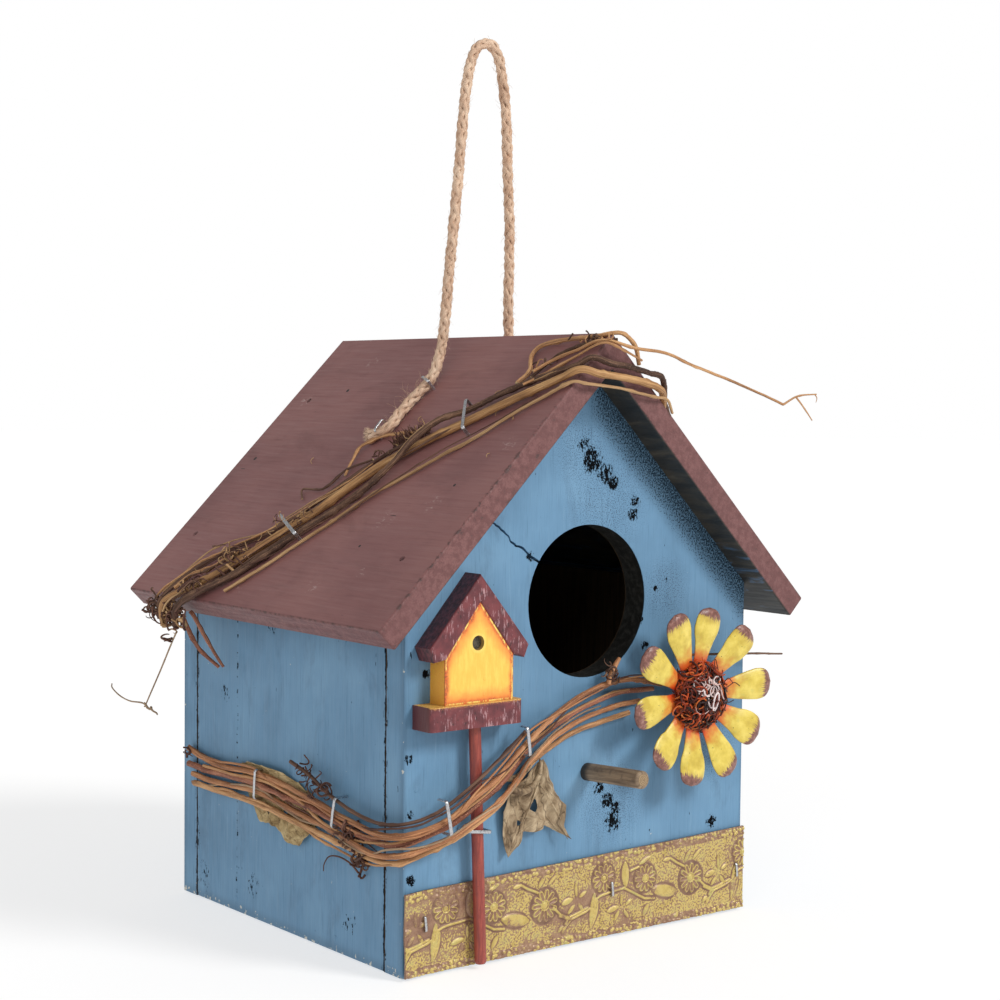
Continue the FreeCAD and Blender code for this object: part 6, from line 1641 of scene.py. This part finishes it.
def strip():
    nx, nz = 760, 150
    u, v = np.meshgrid(np.linspace(0, 1, nx), np.linspace(0, 1, nz), indexing="ij")
    zt = 27.3 + 2.7 * u
    xl = -75.2 - 0.2 * v
    xr = 75.2 + 0.2 * v
    X = xl + (xr - xl) * u
    Z = 0.4 + (zt - 0.4) * v
    wobx = 0.35 * fbm(np.stack([X * 0.1, Z * 0.1, X * 0], -1), 2, 2)
    wobz = 0.35 * fbm(np.stack([X * 0.1 + 30, Z * 0.1, X * 0], -1), 2, 2)
    px, pz = X + wobx, Z + wobz
    h = np.zeros_like(X)
    gold = np.zeros_like(X)
    flat = np.zeros_like(X)

    def seg(a, b):
        ax, az_ = a
        bx, bz = b
        dx, dz = bx - ax, bz - az_
        k = np.clip(((px - ax) * dx + (pz - az_) * dz) / (dx * dx + dz * dz), 0, 1)
        return np.hypot(px - ax - k * dx, pz - az_ - k * dz), k

    for tile in (-2, -1, 0, 1):
        ox = tile * PERIOD
        for a, b, w in OVALS:
            a, b = (a[0] + ox, a[1]), (b[0] + ox, b[1])
            if max(a[0], b[0]) < -80 or min(a[0], b[0]) > 80:
                continue
            d, k = seg(a, b)
            shape = w * np.sqrt(np.clip(1 - (2 * k - 1) ** 2 * 0.86, 0.02, 1))
            e = 1 - d / shape
            dome = np.sqrt(np.clip(e, 0, 1)) * min(0.62, 0.42 + 0.09 * w)
            h = np.maximum(h, dome)
            gold = np.maximum(gold, sstep(e, 0.0, 0.22) * 0.80)
            flat = np.maximum(flat, sstep(e, -0.55, -0.05))
            rim = np.exp(-((d - shape * 1.16) / 0.22) ** 2)
            h -= 0.10 * rim * (dome <= 0)
        for a, b, w in LEAVES:
            a, b = (a[0] + ox, a[1]), (b[0] + ox, b[1])
            d, k = seg(a, b)
            bend = np.abs(d)
            shape = w * np.sin(np.clip(k * 0.92 + 0.06, 0, 1) * np.pi) ** 0.55
            e = 1 - bend / np.maximum(shape, 0.05)
            vein = 0.10 * np.cos(k * 34 - bend * 2.2)
            rib = 0.16 * np.exp(-(d / 0.18) ** 2)
            dome = np.sqrt(np.clip(e, 0, 1)) * 0.50 + (vein - rib) * sstep(e, 0, 0.3)
            h = np.maximum(h, dome * (e > 0))
            gold = np.maximum(gold, sstep(e, 0.0, 0.25) * (0.95 - 0.6 * np.exp(-(d / 0.18) ** 2)))
            flat = np.maximum(flat, sstep(e, -0.5, -0.05))
        for cx, cz, R, boss in DAISIES:
            cx += ox
            if abs(cx) > 82:
                continue
            r = np.hypot(px - cx, pz - cz)
            ang = np.arctan2(pz - cz, px - cx)
            n = 11
            near = r < R * 1.35
            a = (ang * n / (2 * np.pi)) % 1.0 - 0.5
            across = a * 2 * np.pi * np.clip(r, 1.0, R) / n
            body = np.hypot(np.maximum(np.abs(r - R * 0.66) - R * 0.22, 0), across)
            edge = np.exp(-((body - 0.72) / 0.26) ** 2)
            dome = 0.40 * edge + 0.14 * (body < 0.72)
            h = np.where(near, np.maximum(h, dome), h)
            gold = np.where(near, np.maximum(gold, edge * 1.0), gold)
            gold = np.where(near & (body < 0.4), gold * 0.55, gold)
            bo = np.sqrt(np.clip(1 - (r / boss) ** 2, 0, 1)) * 0.5
            h = np.maximum(h, bo)
            gold = np.maximum(gold, sstep(bo, 0.05, 0.3) * 0.95)
            flat = np.maximum(flat, sstep(R * 1.28 - r, 0, 0.5))
        for line_ in STEMS:
            for a, b in zip(line_[:-1], line_[1:]):
                a, b = (a[0] + ox, a[1]), (b[0] + ox, b[1])
                if max(a[0], b[0]) < -80 or min(a[0], b[0]) > 80:
                    continue
                d, k = seg(a, b)
                dome = 0.42 * np.sqrt(np.clip(1 - (d / 0.50) ** 2, 0, 1))
                h = np.maximum(h, dome)
                gold = np.maximum(gold, sstep(dome, 0.10, 0.34) * 0.9)
                flat = np.maximum(flat, sstep(1.3 - d, 0, 0.5))
    # borders: rows of lumps along both long edges
    top_d = (zt - Z)
    band = np.maximum(sstep(3.4 - top_d, 0, 0.7), sstep(3.0 - (Z - 0.4), 0, 0.7))
    dl, rl = worley(X, Z * 1.15, 1.55, 3)
    lump = np.clip(1 - dl / 1.0, 0, 1) ** 0.6 * (0.38 + 0.28 * rl)
    h = np.where(band > 0.3, np.maximum(h * 0.4, lump * band), h)
    gold = np.where(band > 0.3, np.maximum(gold * 0.6, sstep(lump, 0.12, 0.36) * (0.45 + 0.6 * rl)), gold)
    # stippled ground, rubbed with gold in broad patches
    ds, rs = worley(X + 400, Z, 0.62, 9)
    dot = np.clip(1 - ds / 0.42, 0, 1) ** 0.7
    patch = fbm(np.stack([X * 0.055, Z * 0.09, X * 0], -1), 3, 14)
    low = sstep(11.5 - Z, 0, 5) * 0.55 + 0.25 * sstep(Z, 17, 22)
    rub = np.clip(0.62 + 1.2 * patch + low * 0.7 + 0.12 * X / 75.0, 0, 1)
    over = fbm(np.stack([X * 0.16 + 7, Z * 0.16, X * 0], -1), 3, 44)
    gold = gold * np.clip(0.90 + 0.9 * over + 0.12 * X / 75.0, 0.5, 1.0)
    ground = (1 - flat) * (band < 0.3)
    h = np.where(h < 0.05, 0.16 * dot * ground * (0.5 + 0.5 * rs), h)
    gold = np.maximum(gold, ground * sstep(dot, 0.12, 0.55) * rub * (0.55 + 0.6 * rs))
    h += 0.03 * fbm(np.stack([X * 1.6, Z * 1.6, X * 0], -1), 3, 4)
    edge_roll = 0.30 * (sstep(0.5 - (Z - 0.4), 0, 0.5) + sstep(0.5 - top_d, 0, 0.5))
    bow = 0.85 * sstep(-(X + 67.0), 0, 8.6) * (0.8 + 0.3 * np.sin(Z * 0.32)) + 0.25 * fbm(np.stack([X * 0.03, Z * 0.02, X * 0], -1), 2, 6) + 0.12
    Y = -70.95 - np.clip(bow, 0.0, 1.2) - 1.15 * h + edge_roll * 0.4
    front = np.stack([X, Y, Z], -1)
    backs = np.stack([X, np.clip(Y + h + 0.55, -73, -70.12), Z], -1)
    verts = np.vstack([front.reshape(-1, 3), backs.reshape(-1, 3)])
    n0 = nx * nz
    idx = np.arange(n0).reshape(nx, nz)
    a, b, c, d = idx[:-1, :-1], idx[1:, :-1], idx[1:, 1:], idx[:-1, 1:]
    f1 = np.stack([a, b, c, d], -1).reshape(-1, 4)
    f2 = np.stack([d, c, b, a], -1).reshape(-1, 4) + n0
    ring = np.concatenate([idx[:, 0], idx[-1, 1:], idx[-2::-1, -1], idx[0, -2:0:-1]])
    nxt = np.roll(ring, -1)
    f3 = np.stack([ring, ring + n0, nxt + n0, nxt], -1)
    B = Build()
    B.add(verts, np.vstack([f1, f2, f3]).tolist(), 0, True)
    # painted shade: how dark to make the grooves and the flat ground hugging each motif
    crease_shade = np.clip(-h * 3, 0, 1) + 1.5 * flat * (h < 0.05) * (band < 0.3)
    extra = {"gold": np.concatenate([np.clip(gold, 0, 1).ravel(), np.zeros(n0)]),
             "crease_shade": np.concatenate([np.clip(crease_shade * 0.5, 0, 1).ravel(), np.zeros(n0)])}
    return B.make("embossed_border", [MAT["strip"]], "house", ["embossed_strip"], extra)


strip()

# ------------------------------------------------------- perch and the pole
B = Build()
tilt = math.radians(3.2)
pdir = np.array([0, -math.cos(tilt), math.sin(tilt)])
base = np.array([1.2, -70.0, 57.8])
ss = np.concatenate([np.arange(-9.0, 27.3, 0.4), [27.4, 27.65, 27.85, 27.96, 28.0]])
q = base + pdir * ss[:, None]
n = len(q)
th = np.linspace(0, 2 * np.pi, 48, endpoint=False)
rad = 3.0 * (1 + 0.010 * fbm(np.stack([np.broadcast_to((ss * 0.05)[:, None], (n, 48)), np.broadcast_to(np.cos(th) * 3.5, (n, 48)),
                                       np.broadcast_to(np.sin(th) * 3.5, (n, 48))], -1), 3, 1))
rad = np.minimum(rad, 3.0) - 0.004
rad *= np.where(ss > 27.3, np.sqrt(np.clip(1 - ((ss - 27.3) / 0.95) ** 2, 0.2, 1)), 1.0)[:, None]
tt, nn, bb = frames_of(q)
B.tube(q, rad, 48, 0, 1, 0.4, frames=(np.broadcast_to(pdir, q.shape), nn, bb))
B.make("perch", [MAT["dowel"], MAT["end"]], "house", ["perch_dowel"])

B = Build()
q = resample(np.array([(-46.9, -74.1, 1.35), (-50.2, -74.1, 79.3)]), 0.5)
n = len(q)
th = np.linspace(0, 2 * np.pi, 28, endpoint=False)
s = np.arange(n) * 0.5
rad = 1.98 + 0.035 * fbm(np.stack([np.broadcast_to((s * 0.06)[:, None], (n, 28)), np.broadcast_to(np.cos(th) * 1.4, (n, 28)),
                                   np.broadcast_to(np.sin(th) * 1.4, (n, 28))], -1), 3, 8) - 0.02
rad[0] -= 0.35
rad[1] -= 0.08
B.tube(q, rad, 28, 0, 0, 0.6)
B.make("painted_pole", [MAT["pole"]], "house", ["ornament_pole"])

# --------------------------------------------- painted-over heads of the brads
def brad_heads(name, node, heads, r, mats):
    """Low domed heads, each with the paint that was brushed over it, standing a hair proud of the board."""
    B = Build()
    for k, (p, inward, mat) in enumerate(heads):
        n = -np.array(inward, float)
        e1 = np.cross(n, (0.0, 0.3, 1.0))
        e1 /= np.linalg.norm(e1)
        e2 = np.cross(n, e1)
        a = np.linspace(0, 2 * np.pi, 24, endpoint=False)
        rings = [(0.02, 0.10), (0.45, 0.09), (0.78, 0.07), (0.95, 0.03), (1.0, -0.05), (1.0, -0.7)]
        v = []
        for f, h in rings:
            rr = r * f * (1 + 0.03 * np.sin(3 * a + k))
            v.append(np.array(p, float) + n * h + np.cos(a)[:, None] * rr[:, None] * e1 + np.sin(a)[:, None] * rr[:, None] * e2)
        v = np.vstack(v)
        f = [tuple(range(24))[::-1], tuple(range(120, 144))]
        for i in range(5):
            for j in range(24):
                j2 = (j + 1) % 24
                f.append((i * 24 + j, i * 24 + j2, (i + 1) * 24 + j2, (i + 1) * 24 + j))
        B.add(v, f, mat, True)
    return B.make(name, mats, "house", [node])


heads = []
for z in (14, 60, 106):
    for sx in (-1, 1):
        heads.append(((sx * 70, -70.0, z), (0, 1, 0), 0))
        heads.append(((sx * 70, 70.0, z), (0, -1, 0), 1))
for y in (-32, 32):
    for sx in (-1, 1):
        heads.append(((sx * 75, y, 4.5), (-sx, 0, 0), 2 if sx < 0 else 3))
brad_heads("wall_brad_heads", "wall_brads", heads, 1.12, [MAT["front"], MAT["back"], MAT["left"], MAT["right"]])
brad_heads("ornament_brad_heads", "ornament_brads", [((-49.3, -78.0, 94.6), (0, 1, 0), 0), ((-49.3, -78.0, 89.6), (0, 1, 0), 0)], 0.72,
           [MAT["orn_y"]])

# ---------------------------------------------- paint along the eave joints
B = Build()
for k, sx in enumerate((-1, 1)):
    y = np.linspace(-69.6, 69.6, 180)
    q = np.stack([np.full(180, sx * 74.86), y, 118.08 + 0.05 * fbm(np.stack([y * 0.4, y * 0, y * 0 + k], 1), 3, 9)], 1)
    B.tube(q, 0.24, 7, k, k, 0.5)
B.make("eave_paint_seams", [MAT["left"], MAT["right"]], "house")

# ------------------------------------------------------------- edge softening
for node, w in (("left_wall", 0.35), ("right_wall", 0.35), ("back_wall", 0.35), ("floor_board", 0.4)):
    ease_edges(node, w)
for node, w in (("ornament_body", 0.35), ("ornament_ledge", 0.35)):
    ease_edges(node, w, 3, 30)

# ------------------------------------------------------------------ the stage
floor_mat = Mat("floor_look", 0.8, 0.0, 0.1)
fn = floor_mat.noise(floor_mat.p, 0.002, 2)
floor_mat.b.inputs["Emission Color"].default_value = (1, 1, 1, 1)
floor_mat.b.inputs["Emission Strength"].default_value = 0.62
floor_mat.done(floor_mat.mix(floor_mat.step(fn, 0.3, 0.7, 0, 1), (0.46, 0.46, 0.46, 1), (0.48, 0.48, 0.48, 1)))
me = bpy.data.meshes.new("floor")
k = 96
ring = [(9.0 * math.cos(2 * math.pi * i / k), 9.0 * math.sin(2 * math.pi * i / k), -0.0006) for i in range(k)]
me.from_pydata(ring, [], [tuple(range(k))])
me.materials.append(floor_mat.mat)
floor = bpy.data.objects.new("floor", me)
scene.collection.objects.link(floor)

# a plain white backdrop, seen only directly
me = bpy.data.meshes.new("backdrop")
bm = bmesh.new()
bmesh.ops.create_uvsphere(bm, u_segments=48, v_segments=24, radius=30.0)
bm.to_mesh(me)
bm.free()
backdrop_mat = bpy.data.materials.new("backdrop_white")
backdrop_mat.use_nodes = True
nt = backdrop_mat.node_tree
nt.nodes.clear()
em = nt.nodes.new("ShaderNodeEmission")
em.inputs["Color"].default_value = (1, 1, 1, 1)
em.inputs["Strength"].default_value = 1.0
mo = nt.nodes.new("ShaderNodeOutputMaterial")
nt.links.new(em.outputs[0], mo.inputs[0])
me.materials.append(backdrop_mat)
backdrop = bpy.data.objects.new("backdrop", me)
scene.collection.objects.link(backdrop)
for flag in ("visible_diffuse", "visible_glossy", "visible_transmission", "visible_volume_scatter", "visible_shadow"):
    setattr(backdrop, flag, False)

world = bpy.data.worlds.new("world")
scene.world = world
world.use_nodes = True
bg = world.node_tree.nodes["Background"]
bg.inputs[0].default_value = (1.0, 1.0, 1.0, 1.0)
bg.inputs[1].default_value = 0.45


def sun(name, az_deg, el_deg, strength, angle, colour=(1, 1, 1)):
    data = bpy.data.lights.new(name, "SUN")
    data.energy = strength
    data.angle = math.radians(angle)
    data.color = colour
    o = bpy.data.objects.new(name, data)
    scene.collection.objects.link(o)
    a, e = math.radians(az_deg), math.radians(el_deg)
    d = Vector((math.sin(a) * math.cos(e), -math.cos(a) * math.cos(e), math.sin(e)))
    o.rotation_mode = "QUATERNION"
    o.rotation_quaternion = d.to_track_quat("Z", "Y")
    return o


sun("key", 27.0, 34.0, 1.95, 18.0, (1.0, 0.985, 0.965))
sun("fill", -52.0, 26.0, 0.36, 26.0)
scene.view_settings.view_transform = "Standard"
scene.view_settings.look = "None"
scene.view_settings.exposure = 0.0
scene.view_settings.gamma = 1.0
